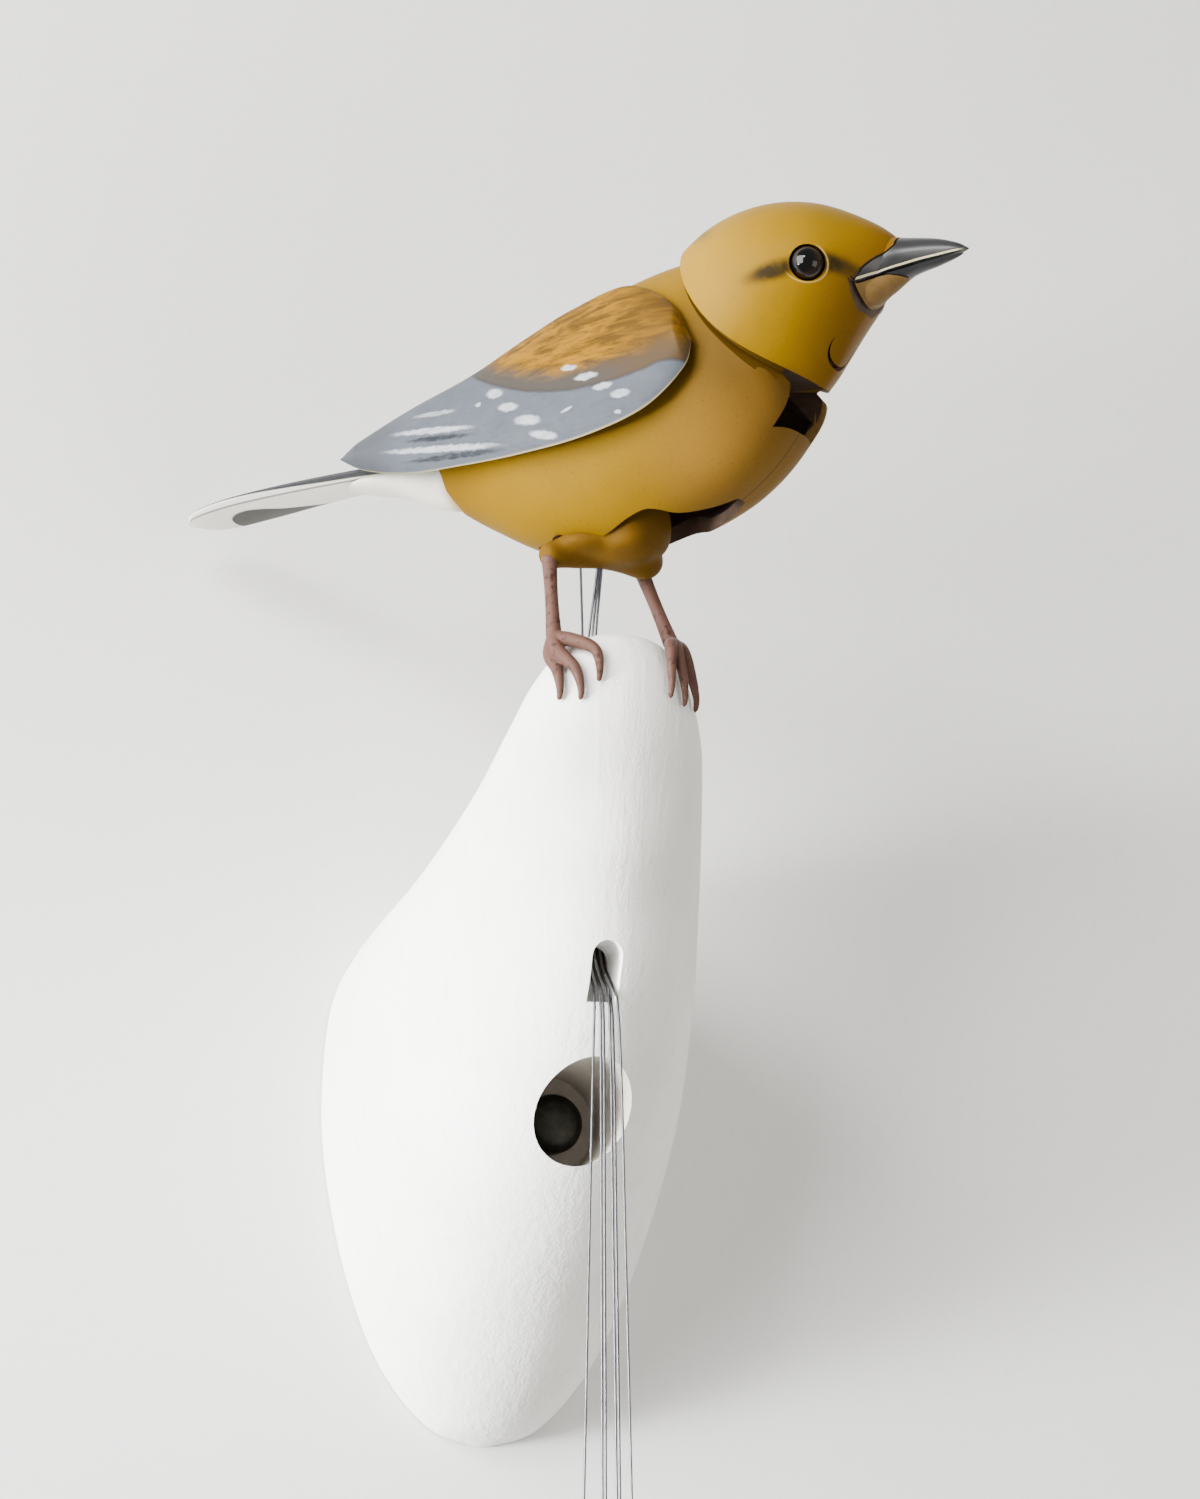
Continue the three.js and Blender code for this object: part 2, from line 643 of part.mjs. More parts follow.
const bodyShell = bodyOuter
  .subtract(headSweep)
  .add(neckBall)
  .subtract(bodyInner.intersect(belowRim(neckDepth)))
  .subtract(rearCut)
  .subtract(ellipsoid([tailRoomX, 0, tailRoomZ], [10, tailRoomHalfWidth, tailRoomHalfHeight], 16, 10))
  .subtract(notch)
  .subtract(bellyOpening)
  .subtract(hipCuffs(hipRoom));
addPiece(bird, "body", geometryOf(mainPiece(bodyShell)), finish(bodyColour, 0.5));

// Hip block: the middle in the belly opening and the bar with the leg cuffs.
const hipBlock = hipMiddle(0).add(hipCuffs(0));

// Legs: a shank and toes that follow the dome of the perch.
function onDome(view, z, lift) {
  const t = perchT(z);
  const angle = -Math.PI / 2 - THREE.MathUtils.degToRad(domeView - view);
  const [x, y] = perchPoint(t, angle);
  const centre = rowValue(perchLevels.map((row) => row.centreY), t);
  const reach = Math.hypot(x, y - centre);
  const scale = (reach + lift) / reach;
  return [x * scale, centre + (y - centre) * scale, z + lift * 0.25];
}

function legSolid(leg) {
  const hip = toWall(...leg.hip);
  const ankle = toWall(...leg.ankle);
  const knee = toWall(...leg.hip.map((value, i) => value + (leg.ankle[i] - value) * 0.55));
  const shank = taperedLimb([hip, knee, ankle], (t) => 1.15 - 0.3 * Math.sin(Math.PI * t), 8, 6)
    .add(ellipsoid(ankle, [1.25, 1.25, 1.3], 8, 5));
  return leg.toes.reduce((sum, toe) => {
    const lifts = [2, 1.3, 1.1];
    const points = [ankle, ...toe.map(([toeView, toeZ], i) => onDome(toeView, toeZ, lifts[i]))];
    const tip = toe[toe.length - 1];
    points.push(onDome(tip[0], tip[1] - 1.4, 0.5));
    return sum.add(taperedLimb(points, (t) => 1.1 - 0.85 * t * t, 7, 6));
  }, shank);
}

const nearLeg = legSolid(nearLegShape);
const farLeg = legSolid(farLegShape);
const hipInWall = hipBlock.rotate([0, 0, THREE.MathUtils.radToDeg(birdTurn)]).translate([birdX, birdY, 0]);
const legRoom = (leg) => {
  const along = (share) => toWall(...leg.hip.map((value, i) => value + (leg.ankle[i] - value) * share));
  return taperedLimb([along(-0.12), along(0.2), along(0.5)], () => 1.5, 10, 5);
};
const hipWithHoles = hipInWall.subtract(legRoom(nearLegShape)).subtract(legRoom(farLegShape));
addPiece(sculpture, "hip_block", geometryOf(mainPiece(hipWithHoles)), finish(0xa87c1e, 0.5));
const domeSkin = 0.3;
const skinMoves = [[1, 0, 0], [-1, 0, 0], [0, 1, 0], [0, -1, 0], [0, 0, 1]];
const domeRoom = skinMoves.reduce(
  (sum, move) => sum.add(perch.translate(move.map((value) => value * domeSkin))),
  perch,
);
addPiece(sculpture, "leg_near", geometryOf(mainPiece(nearLeg.subtract(domeRoom))), finish(legColour, 0.55));
addPiece(sculpture, "leg_far", geometryOf(mainPiece(farLeg.subtract(domeRoom))), finish(legColour, 0.55));

// Wings: thin plates bowed over the flanks.
function wingSolid() {
  const column = (key, i) => wingStations.map((row) => row[key][i]);
  const ring = (row, angle, point) => {
    const t = easedEnds(row);
    const upper = [0, 1, 2].map((i) => rowValue(column("upper", i), t));
    const lower = [0, 1, 2].map((i) => rowValue(column("lower", i), t));
    const across = Math.cos(angle);
    const closing = Math.min(1, Math.sin(Math.PI * t) * 3);
    const bow = (1 - across * across) * wingBow * closing;
    const thick = Math.sin(angle) * wingHalfThickness * closing;
    point.set(
      (upper[0] + lower[0]) / 2 + (across * (upper[0] - lower[0])) / 2,
      (upper[1] + lower[1]) / 2 + (across * (upper[1] - lower[1])) / 2 - bow - thick,
      (upper[2] + lower[2]) / 2 + (across * (upper[2] - lower[2])) / 2,
    );
  };
  return solidOf(loft(ring, 14, 14));
}

const wing = wingSolid();
addPiece(bird, "wing_near", geometryOf(wing), finish(0x9aa0a8, 0.55));
addPiece(bird, "wing_far", geometryOf(mirrored(wing)), finish(0x9aa0a8, 0.55));

// Tail blade and the coverts below its root.
const tail = stationFormAcross(tailStations);
const tailRoom = grown(tail, pieceGap).add(tail.translate([0, 0, 6]));
const coverts = stationForm(covertStations, 0, 14, 10).subtract(tailRoom);
addPiece(bird, "tail", geometryOf(mainPiece(tail)), finish(0x9c9ca0, 0.5));
addPiece(bird, "tail_coverts", geometryOf(mainPiece(coverts)), finish(0xd9d8cc, 0.6));

// Control wires: from the hip block through the perch and out of the slot.
for (let i = 0; i < wireCount; i += 1) {
  const side = i - (wireCount - 1) / 2;
  const stagger = i % 2 === 0 ? 1 : -1;
  const start = toWall(wireTopX + side * 0.3, side * 0.62, wireTopZ);
  const path = [
    start,
    [-1 + side * 0.58, -54.6 + stagger * 0.6, 61],
    [-1 + side * 0.58, -54 + stagger * 0.6, 48],
    [-0.5 + side * 0.6, -51.7 + stagger * 0.6, 34],
    [side * 0.62 - 0.6, -52.2 + stagger * 0.55, 20],
    [side * 0.68 - 1.1, -55 + stagger * 0.45, 12.5],
    [side * 0.7 - 1.1, -60.6 + stagger * 0.35, 8.6],
    [side * 0.72 - 1.1 + wireLean[i] * 0.1, -61.9 + stagger * 0.35, 1],
    [side * 0.72 - 0.7 + wireLean[i] * 0.45, -61.5 + stagger * 0.5, -30],
    [side * 0.72 + wireLean[i], -60.8 + stagger * 0.8, wireEndZ - wireStep * (i % 3)],
  ];
  addPiece(sculpture, `wire_${i + 1}`, wireAlong(path, wireRadius, 16), finish(wireColour, 0.4, 0.8));
  const end = path[path.length - 1];
  const bead = new THREE.SphereGeometry(beadRadius, 8, 6);
  bead.translate(end[0], end[1], end[2] - beadRadius - 0.3);
  addPiece(sculpture, `wire_end_${i + 1}`, bead, finish(wireColour, 0.4, 0.8));
}

export default sculpture;
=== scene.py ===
import math

import bpy
from mathutils import Matrix, Vector


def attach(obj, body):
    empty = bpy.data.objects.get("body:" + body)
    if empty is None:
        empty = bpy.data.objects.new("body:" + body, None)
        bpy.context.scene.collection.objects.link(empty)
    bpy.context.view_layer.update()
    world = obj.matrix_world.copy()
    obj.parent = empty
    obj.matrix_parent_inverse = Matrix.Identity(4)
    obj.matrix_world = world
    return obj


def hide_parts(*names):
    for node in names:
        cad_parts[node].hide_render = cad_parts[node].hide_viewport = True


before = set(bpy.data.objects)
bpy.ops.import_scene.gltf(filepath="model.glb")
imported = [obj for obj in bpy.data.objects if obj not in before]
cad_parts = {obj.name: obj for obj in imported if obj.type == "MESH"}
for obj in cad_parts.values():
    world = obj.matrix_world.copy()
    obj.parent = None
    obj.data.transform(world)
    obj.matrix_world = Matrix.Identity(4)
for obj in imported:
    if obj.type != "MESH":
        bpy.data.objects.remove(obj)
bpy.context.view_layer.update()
mm = 0.001
alongX, alongY, alongZ = (1, 0, 0), (0, 1, 0), (0, 0, 1)

# Where the bird stands: its own x runs forward, y to its left, z up
stand = {"x": 0.5, "y": -64.0, "turn": math.radians(-47)}


def birdPlace(x, y, z):
    turned = Matrix.Rotation(stand["turn"], 3, "Z") @ Vector((x, y, z))
    return (turned + Vector((stand["x"], stand["y"], 0))) * mm


def wallPlace(x, y, z):
    return Vector((x, y, z)) * mm


# Camera
cameraSet = {
    "place": (-260.64, -771.79, -114.27),
    "aim": (-1.54, -59.92, 46.75),
    "lens": 120.0,
    "sensor": 36.0,
    "nearClip": 0.01,
}

lens = bpy.data.cameras.new("photoLens")
lens.lens = cameraSet["lens"]
lens.sensor_fit = "VERTICAL"
lens.sensor_height = cameraSet["sensor"]
lens.clip_start = cameraSet["nearClip"]
camera = bpy.data.objects.new("photoCamera", lens)
camera.location = wallPlace(*cameraSet["place"])
look = wallPlace(*cameraSet["aim"]) - camera.location
camera.rotation_euler = look.to_track_quat("-Z", "Y").to_euler()
bpy.context.collection.objects.link(camera)
bpy.context.scene.camera = camera
print("camera placed")


# Small helpers for colour and nodes
def linear(hexColour):
    channels = [int(hexColour[i : i + 2], 16) / 255 for i in (1, 3, 5)]
    return [c / 12.92 if c <= 0.04045 else ((c + 0.055) / 1.055) ** 2.4 for c in channels] + [1.0]


# for each short name: the node, its fixed settings, the sockets that values fill in turn, its output
nodeKinds = {
    "noise": ("TexNoise", {"Detail": 3.0}, ("Vector", "Scale", "Detail", "Roughness", "Distortion"), "Fac"),
    "colours": ("TexNoise", {}, ("Vector", "Scale", "Detail"), "Color"),
    "ramp": ("MapRange", {"interpolation_type": "SMOOTHSTEP"}, range(5), 0),
    "straight": ("MapRange", {}, range(5), 0),
    "curve": ("FloatCurve", {}, ("Factor", "Value"), 0),
    "mix": ("Mix", {"data_type": "RGBA"}, (0, 6, 7), 2),
    "length": ("VectorMath", {"operation": "LENGTH"}, (0,), "Value"),
    "warp": ("VectorMath", {"operation": "MULTIPLY_ADD"}, range(3), 0),
    "place": ("Mapping", {}, ("Vector",), 0),
    "axes": ("SeparateXYZ", {}, ("Vector",), None),
    "objectSpace": ("TexCoord", {}, (), "Object"),
    "formMap": ("UVMap", {"uv_map": "formMap"}, (), 0),
    "normal": ("NewGeometry", {}, (), "Normal"),
    "behind": ("NewGeometry", {}, (), "Backfacing"),
    "bump": ("Bump", {}, ("Height", "Strength", "Distance"), 0),
    "clear": ("BsdfTransparent", {}, (), 0),
    "eitherShader": ("MixShader", {}, range(3), 0),
}
mathKinds = {"plus": "ADD", "minus": "SUBTRACT", "times": "MULTIPLY", "unsigned": "ABSOLUTE"}
for kind, operation in mathKinds.items():
    nodeKinds[kind] = ("Math", {"operation": operation}, (0, 1), 0)
bench = {}  # the node tree that is being worked on: the newest finish's


def plug(source, socket):
    bench["tree"].links.new(source, socket)


def node(kind, *values, **settings):
    # one node of the newest finish; a value is another node's output, a hex colour or a number
    nodeType, preset, sockets, output = nodeKinds[kind]
    made = bench["tree"].nodes.new("ShaderNode" + nodeType)
    for key, value in {**preset, **settings}.items():
        if key in made.inputs:
            made.inputs[key].default_value = value
        else:
            setattr(made, key, value)
    for key, value in zip(sockets, values):
        if isinstance(value, bpy.types.NodeSocket):
            plug(value, made.inputs[key])
        else:
            made.inputs[key].default_value = linear(value) if isinstance(value, str) else value
    return made.outputs if output is None else made.outputs[output]


def birdSpace():
    # object coordinates turned into the bird's own frame, in millimetres
    back = Matrix.Rotation(-stand["turn"], 3, "Z") @ Vector((-stand["x"], -stand["y"], 0))
    turn = 0, 0, -stand["turn"]
    return node("place", node("objectSpace"), Location=back, Rotation=turn, Scale=(1 / mm, 1 / mm, 1 / mm))


def wallSpace():
    return node("place", node("objectSpace"), Scale=(1 / mm, 1 / mm, 1 / mm))


def newFinish(name, settings, space=birdSpace):
    material = bpy.data.materials.new(name)
    material.use_nodes = True
    bench["tree"] = material.node_tree
    shader = material.node_tree.nodes["Principled BSDF"]
    for key, value in settings.items():
        shader.inputs[key].default_value = value
    return material, shader, space()


def finished(shader, tone, height=None, strength=0.0, depth=0.0):
    # the colour goes in, and a bump with its depth in millimetres
    plug(tone, shader.inputs["Base Color"])
    if height is not None:
        plug(node("bump", height, strength, depth * mm), shader.inputs["Normal"])


def layered(tone, *layers):
    # thin coats over a tone: each is how far it covers and its colour
    for amount, colour in layers:
        tone = node("mix", amount, tone, colour)
    return tone


def farFrom(space, centre, halves=(1, 1), tilt=0.0):
    # distance from a place on the bird's side, in x and z, as a share of an ellipse's half axes
    endless = 1e6
    turn, scale = (0, -math.radians(tilt), 0), (halves[0], endless, halves[1])
    spot = centre[0], 0, centre[1]
    moved = node("place", space, vector_type="TEXTURE", Location=spot, Rotation=turn, Scale=scale)
    return node("length", moved)


def daub(space, centre, halves, tilt=0.0, soft=0.3):
    # one painted mark on the bird's side: an ellipse, soft at its edge
    return node("ramp", farFrom(space, centre, halves, tilt), 1 - soft, 1 + soft, 1.0, 0.0)


def lineHeight(across, points):
    # the height of a drawn line above a place along it, from the line's points
    low, high = points[0][0], points[-1][0]
    bottom, top = min(z for _, z in points), max(z for _, z in points)
    drawn = node("curve", 1.0, node("straight", across, low, high))
    mapping = drawn.node.mapping
    curve = mapping.curves[0]
    spots = [((x - low) / (high - low), (z - bottom) / (top - bottom)) for x, z in points]
    curve.points[0].location, curve.points[1].location = spots[0], spots[-1]
    for spot in spots[1:-1]:
        curve.points.new(*spot)
    mapping.update()
    return node("straight", drawn, 0, 1, bottom, top)


# Small helpers for shapes
def rowValue(values, t):
    # Catmull-Rom through one column of rows
    last = len(values) - 1
    place = min(last, max(0.0, t * last))
    i = min(last - 1, int(place))
    u = place - i
    p1, p2 = values[i], values[i + 1]
    p0 = values[i - 1] if i > 0 else 2 * p1 - p2
    p3 = values[i + 2] if i < last - 1 else 2 * p2 - p1
    bend = 2 * p0 - 5 * p1 + 4 * p2 - p3
    twist = 3 * p1 - p0 - 3 * p2 + p3
    return 0.5 * (2 * p1 + (p2 - p0) * u + bend * u * u + twist * u * u * u)


def easedEnds(t):
    return (t + 0.5 - 0.5 * math.cos(math.pi * t)) / 2


def newPiece(name, vertices, faces, maps=None):
    mesh = bpy.data.meshes.new(name)
    mesh.from_pydata(vertices, [], faces)
    if maps:
        layer = mesh.uv_layers.new(name="formMap")
        for loop, spot in zip(mesh.loops, maps):
            layer.data[loop.index].uv = spot
    mesh.validate()
    piece = bpy.data.objects.new(name, mesh)
    bpy.context.collection.objects.link(piece)
    return piece


def loft(name, ring, around, along, place=birdPlace):
    # a closed form: a pole, rings, and a pole; ring(t, angle) gives millimetres
    vertices = [place(*ring(0.0, 0.0))]
    for row in range(1, along):
        vertices += [place(*ring(row / along, 2 * math.pi * step / around)) for step in range(around)]
    vertices.append(place(*ring(1.0, 0.0)))
    faces, maps = [], []
    for step in range(around):
        following = (step + 1) % around
        left, right = step / around, (step + 1) / around
        faces.append((0, 1 + following, 1 + step))
        maps += [(0, left), (1 / along, right), (1 / along, left)]
        for row in range(along - 2):
            base, above = 1 + row * around, 1 + (row + 1) * around
            faces.append((base + step, base + following, above + following, above + step))
            low, high = (row + 1) / along, (row + 2) / along
            maps += [(low, left), (low, right), (high, right), (high, left)]
        base = 1 + (along - 2) * around
        faces.append((base + step, base + following, len(vertices) - 1))
        maps += [((along - 1) / along, left), ((along - 1) / along, right), (1, left)]
    return facingOut(newPiece(name, vertices, faces, maps))


def applied(piece):
    # bakes a piece's modifiers into its mesh
    depsgraph = bpy.context.evaluated_depsgraph_get()
    made = bpy.data.meshes.new_from_object(piece.evaluated_get(depsgraph), depsgraph=depsgraph)
    old = piece.data
    piece.modifiers.clear()
    piece.data = made
    bpy.data.meshes.remove(old)
    return piece


def carve(piece, tools, operation="DIFFERENCE", keep=False):
    for tool in tools:
        modifier = piece.modifiers.new("carve", "BOOLEAN")
        modifier.operation = operation
        modifier.solver = "MANIFOLD"
        modifier.object = tool
        modifier.material_mode = "TRANSFER"
    applied(piece)
    if not keep:
        for tool in tools:
            bpy.data.objects.remove(tool)
    return piece


def smoothed(piece, degrees=38):
    piece.data.shade_smooth()
    piece.data.set_sharp_from_angle(angle=math.radians(degrees))
    return piece


def copied(piece, name):
    twin = piece.copy()
    twin.data = piece.data.copy()
    twin.name = name
    bpy.context.collection.objects.link(twin)
    return twin


def mirroredBird(piece, name):
    # the same form on the bird's other side
    twin = copied(piece, name)
    turned = Matrix.Translation(birdPlace(0, 0, 0)) @ Matrix.Rotation(stand["turn"], 4, "Z")
    twin.data.transform(turned @ Matrix.Scale(-1, 4, (0, 1, 0)) @ turned.inverted())
    twin.data.flip_normals()
    return twin


def ballForm(name, centre, halves, around=48, along=32, place=birdPlace, tip=0.0):
    lean = math.radians(tip)

    def ring(t, angle):
        x = halves[0] * math.sin(math.pi * t) * math.cos(angle)
        y = halves[1] * math.sin(math.pi * t) * math.sin(angle)
        z = halves[2] * math.cos(math.pi * t)
        return (
            centre[0] + x * math.cos(lean) + z * math.sin(lean),
            centre[1] + y,
            centre[2] - x * math.sin(lean) + z * math.cos(lean),
        )

    return loft(name, ring, around, along, place)


def facingOut(piece):
    mesh = piece.data
    mesh.calc_loop_triangles()
    spots = [v.co for v in mesh.vertices]
    corners = (t.vertices for t in mesh.loop_triangles)
    volume = sum(spots[a].cross(spots[b]).dot(spots[c]) for a, b, c in corners)
    if volume < 0:
        mesh.flip_normals()
    return piece


def extruded(name, outline, origin, across, up, run, depth, place=birdPlace):
    # an outline drawn with the directions across and up, pushed along run
    flat = [Vector(origin) + Vector(across) * a + Vector(up) * b for a, b in outline]
    count = len(flat)
    vertices = [place(*p) for p in flat] + [place(*(p + Vector(run) * depth)) for p in flat]
    faces = [tuple(range(count)), tuple(range(2 * count - 1, count - 1, -1))]
    faces += [(i, i + count, (i + 1) % count + count, (i + 1) % count) for i in range(count)]
    return facingOut(newPiece(name, vertices, faces))


def slab(name, outline):
    # an outline in the bird's x and z, run across the bird
    halfDepth = 40
    return extruded(name, outline, (0, -halfDepth, 0), alongX, alongZ, alongY, 2 * halfDepth)


def disc(radius, count=64, centre=(0, 0)):
    turns = [2 * math.pi * i / count for i in range(count)]
    return [(centre[0] + radius * math.cos(a), centre[1] + radius * math.sin(a)) for a in turns]


def boxForm(name, low, high, place=birdPlace):
    outline = [(low[0], low[2]), (high[0], low[2]), (high[0], high[2]), (low[0], high[2])]
    return extruded(name, outline, (0, low[1], 0), alongX, alongZ, alongY, high[1] - low[1], place)


def joined(name, pieces):
    vertices, faces = [], []
    for piece in pieces:
        base = len(vertices)
        vertices += [v.co.copy() for v in piece.data.vertices]
        faces += [tuple(base + i for i in p.vertices) for p in piece.data.polygons]
        bpy.data.objects.remove(piece)
    return newPiece(name, vertices, faces)


def catmull(points, count):
    # centripetal Catmull-Rom through points, sampled count times evenly along its length
    fineness = 24
    spots = [Vector(p) for p in points]
    ends = [2 * spots[0] - spots[1]] + spots + [2 * spots[-1] - spots[-2]]
    fine = []
    for i in range(1, len(ends) - 2):
        p0, p1, p2, p3 = ends[i - 1 : i + 3]
        knots = [0.0]
        for a, b in ((p0, p1), (p1, p2), (p2, p3)):
            knots.append(knots[-1] + max(1e-6, (b - a).length ** 0.5))
        t0, t1, t2, t3 = knots
        for step in range(fineness):
            t = t1 + (t2 - t1) * step / fineness
            a1 = p0 * ((t1 - t) / (t1 - t0)) + p1 * ((t - t0) / (t1 - t0))
            a2 = p1 * ((t2 - t) / (t2 - t1)) + p2 * ((t - t1) / (t2 - t1))
            a3 = p2 * ((t3 - t) / (t3 - t2)) + p3 * ((t - t2) / (t3 - t2))
            b1 = a1 * ((t2 - t) / (t2 - t0)) + a2 * ((t - t0) / (t2 - t0))
            b2 = a2 * ((t3 - t) / (t3 - t1)) + a3 * ((t - t1) / (t3 - t1))
            fine.append(b1 * ((t2 - t) / (t2 - t1)) + b2 * ((t - t1) / (t2 - t1)))
    fine.append(spots[-1])
    lengths = [0.0]
    for a, b in zip(fine, fine[1:]):
        lengths.append(lengths[-1] + (b - a).length)
    picked, j = [], 0
    for i in range(count):
        want = lengths[-1] * i / (count - 1)
        while j < len(fine) - 2 and lengths[j + 1] < want:
            j += 1
        span = max(1e-9, lengths[j + 1] - lengths[j])
        picked.append(fine[j].lerp(fine[j + 1], min(1.0, (want - lengths[j]) / span)))
    return picked, lengths[-1]


def limb(name, points, radiusAt, around=20, along=40, place=birdPlace):
    # a rounded limb along a smooth route, in the route's own millimetres
    route, _ = catmull(points, along + 1)
    side = Vector((0, 0, 1)).cross(route[1] - route[0])
    side = (side if side.length > 1e-6 else Vector((1, 0, 0))).normalized()
    frames = []
    for i in range(along + 1):
        run = (route[min(along, i + 1)] - route[max(0, i - 1)]).normalized()
        side = (side - run * side.dot(run)).normalized()
        frames.append((side.copy(), run.cross(side)))

    def ring(t, angle):
        i = round(t * along)
        reach = 0.0 if i in (0, along) else radiusAt(t)
        normal, binormal = frames[i]
        spot = route[i] + normal * (math.cos(angle) * reach) + binormal * (math.sin(angle) * reach)
        return spot.x, spot.y, spot.z

    return loft(name, ring, around, along, place)


def melted(name, pieces, voxel):
    # several forms joined into one skin
    whole = joined(name, pieces)
    remesh = whole.modifiers.new("melt", "REMESH")
    remesh.mode = "VOXEL"
    remesh.voxel_size = voxel * mm
    remesh.use_smooth_shade = True
    return applied(whole)


def relaxed(piece, factor, times):
    smooth = piece.modifiers.new("relax", "SMOOTH")
    smooth.factor = factor
    smooth.iterations = times
    return applied(piece)


def coat(piece, material):
    piece.data.materials.clear()
    piece.data.materials.append(material)
    return piece


def dress(piece, body, nodes=()):
    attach(piece, body)
    if nodes:
        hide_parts(*nodes)
    return piece


# Control wires
wireSet = {
    "radius": 0.2,
    "top": (-3.5, 0, 75.4),
    "topSpread": (-0.45, 0.17),
    "topStagger": 0.35,
    "thinWire": (-3.3, -2.3),  # the first wire stands apart: its x from the top, and at the first place below
    "route": (  # x, how it spreads, its share of the lean, y, how it staggers, z
        (-1.6, 0.34, 0, -54.6, 0.45, 61),
        (-1.3, 0.5, 0, -54, 0.5, 48),
        (-0.5, 0.6, 0, -51.7, 0.6, 34),
        (-0.2, 0.5, 0, -52.2, 0.55, 20),
        (-0.1, 0.48, 0, -55, 0.45, 12.5),
        (-0.9, 0.66, 0, -60.6, 0.35, 8.6),
        (-1.1, 0.72, 0.1, -61.9, 0.35, 1),
        (-0.7, 0.72, 0.45, -61.5, 0.5, -30),
        (0, 0.72, 1, -60.8, 0.8, -82),
    ),
    "step": 2.2,
    "lean": (-2.6, -0.6, -0.2, 0.4, 0.8, 1.6),
    "points": 40,
}

# a soft grey line of light
wireSteel, shader, space = newFinish("drawnSteelWire", {"Metallic": 1.0, "Roughness": 0.38}, wallSpace)
finished(shader, node("mix", node("noise", space, 1 / 1.5), "#3C3D41", "#6C6D72"))

for i, lean in enumerate(wireSet["lean"]):
    side = i - (len(wireSet["lean"]) - 1) / 2
    stagger = 1 if i % 2 == 0 else -1
    middle, spread = wireSet["topSpread"]
    offset = wireSet["thinWire"][0] if i == 0 else side * spread + middle
    route = [birdPlace(*wireSet["top"]) / mm + Vector((offset, stagger * wireSet["topStagger"], 0))]
    for x, spread, share, y, off, z in wireSet["route"]:
        route.append(Vector((x + side * spread + lean * share, y + stagger * off, z)))
    if i == 0:
        route[1].x = wireSet["thinWire"][1]
    route[-1].z -= wireSet["step"] * (i % 3)
    spots, length = catmull(route, wireSet["points"])
    curve = bpy.data.curves.new(f"wire{i + 1}", "CURVE")
    curve.dimensions = "3D"
    spline = curve.splines.new("POLY")
    spline.points.add(len(spots) - 1)
    for point, spot in zip(spline.points, spots):
        point.co = (*(spot * mm), 1)
    curve.bevel_depth = wireSet["radius"] * mm
    curve.bevel_resolution = 3
    curve.use_fill_caps = True
    wire = bpy.data.objects.new(f"controlWire{i + 1}", curve)
    bpy.context.collection.objects.link(wire)
    coat(wire, wireSteel)
    dress(wire, "stand", [f"wire_{i + 1}"])
    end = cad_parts[f"wire_end_{i + 1}"]
    coat(end, wireSteel)
print("control wires hung")

# Perch
perchSet = {
    "z": (-57, -53.5, -43, -27, -8, 10, 22, 31, 40.5, 49, 57, 62.4, 64.8),
    "halfWidth": (0, 9.6, 18.2, 24.2, 27.6, 27.2, 24.9, 21.2, 18, 15.4, 12, 7.4, 0),
    "halfDepth": (0, 7.5, 18.5, 34, 50, 55, 45, 31, 19, 14, 11, 6.8, 0),
    "centreY": (1, 1, 1, 1, 0, -6, -19, -36, -49.5, -57, -60.6, -62.4, -63),
    "slotX": -1.1,
    "slotHalfWidth": 2.4,
    "slotBottom": 7.2,
    "slotArch": 14.0,
    "channelRadius": 2.7,
    "channel": ((-1, -54.6, 63), (-1, -54.6, 50), (-0.5, -51.5, 34), (-0.6, -52, 20), (-1.1, -54.5, 12)),
    "recessRadius": 7.8,
    "recessZ": -8.3,
    "recessFloor": -31.0,
    "slotBack": -50.5,
    "boltHole": 2.4,
}


def perchSpot(t, angle):
    width, depth = (max(0.0, rowValue(perchSet[key], t)) for key in ("halfWidth", "halfDepth"))
    centre, z = (rowValue(perchSet[key], t) for key in ("centreY", "z"))
    return width * math.cos(angle), centre + depth * math.sin(angle), z


def perchRow(z):
    low, high = 0.0, 1.0
    for _ in range(40):
        middle = (low + high) / 2
        low, high = (middle, high) if rowValue(perchSet["z"], middle) < z else (low, middle)
    return low


# a chalky white with soft brush marks
perchPaint, shader, space = newFinish("mattWhiteBrushedPaint", {"Roughness": 0.72}, wallSpace)
brushed = node("noise", node("place", space, Scale=(1, 1, 0.07)), 1 / 1.4, 4)
patches = node("noise", space, 1 / 16, 2)
tone = node("mix", node("ramp", patches, 0.35, 0.65), "#F3F3F0", "#FAFAF8")
tone = node("mix", node("ramp", brushed, 0.55, 0.8, 0, 0.35), tone, "#D6D4CC")
grain = node("plus", brushed, node("times", node("noise", space, 1 / 0.5, 3), 0.5))
finished(shader, tone, grain, 0.55, 0.3)

# warmer, darker grey walls of the bore: painted shade inside the bore
boreShadeCoat, shader, space = newFinish("paintedShadeInsideTheBore", {"Roughness": 0.85}, wallSpace)
finished(shader, node("mix", node("noise", space, 1 / 3), "#A8A198", "#C8C2B9"))

perch = coat(loft("perchForm", perchSpot, 160, 220, wallPlace), perchPaint)
half = perchSet["slotHalfWidth"]
arch = [(-half, perchSet["slotBottom"]), (half, perchSet["slotBottom"])]
for i in range(25):
    angle = math.pi * i / 24
    arch.append((half * math.cos(angle), perchSet["slotArch"] + half * math.sin(angle)))
channelSpan = perchSet["channelRadius"]


def bored(name, outline, x, z, front, back, material):
    hole = extruded(name, outline, (x, front, z), alongX, alongZ, alongY, back - front, wallPlace)
    return coat(hole, material)


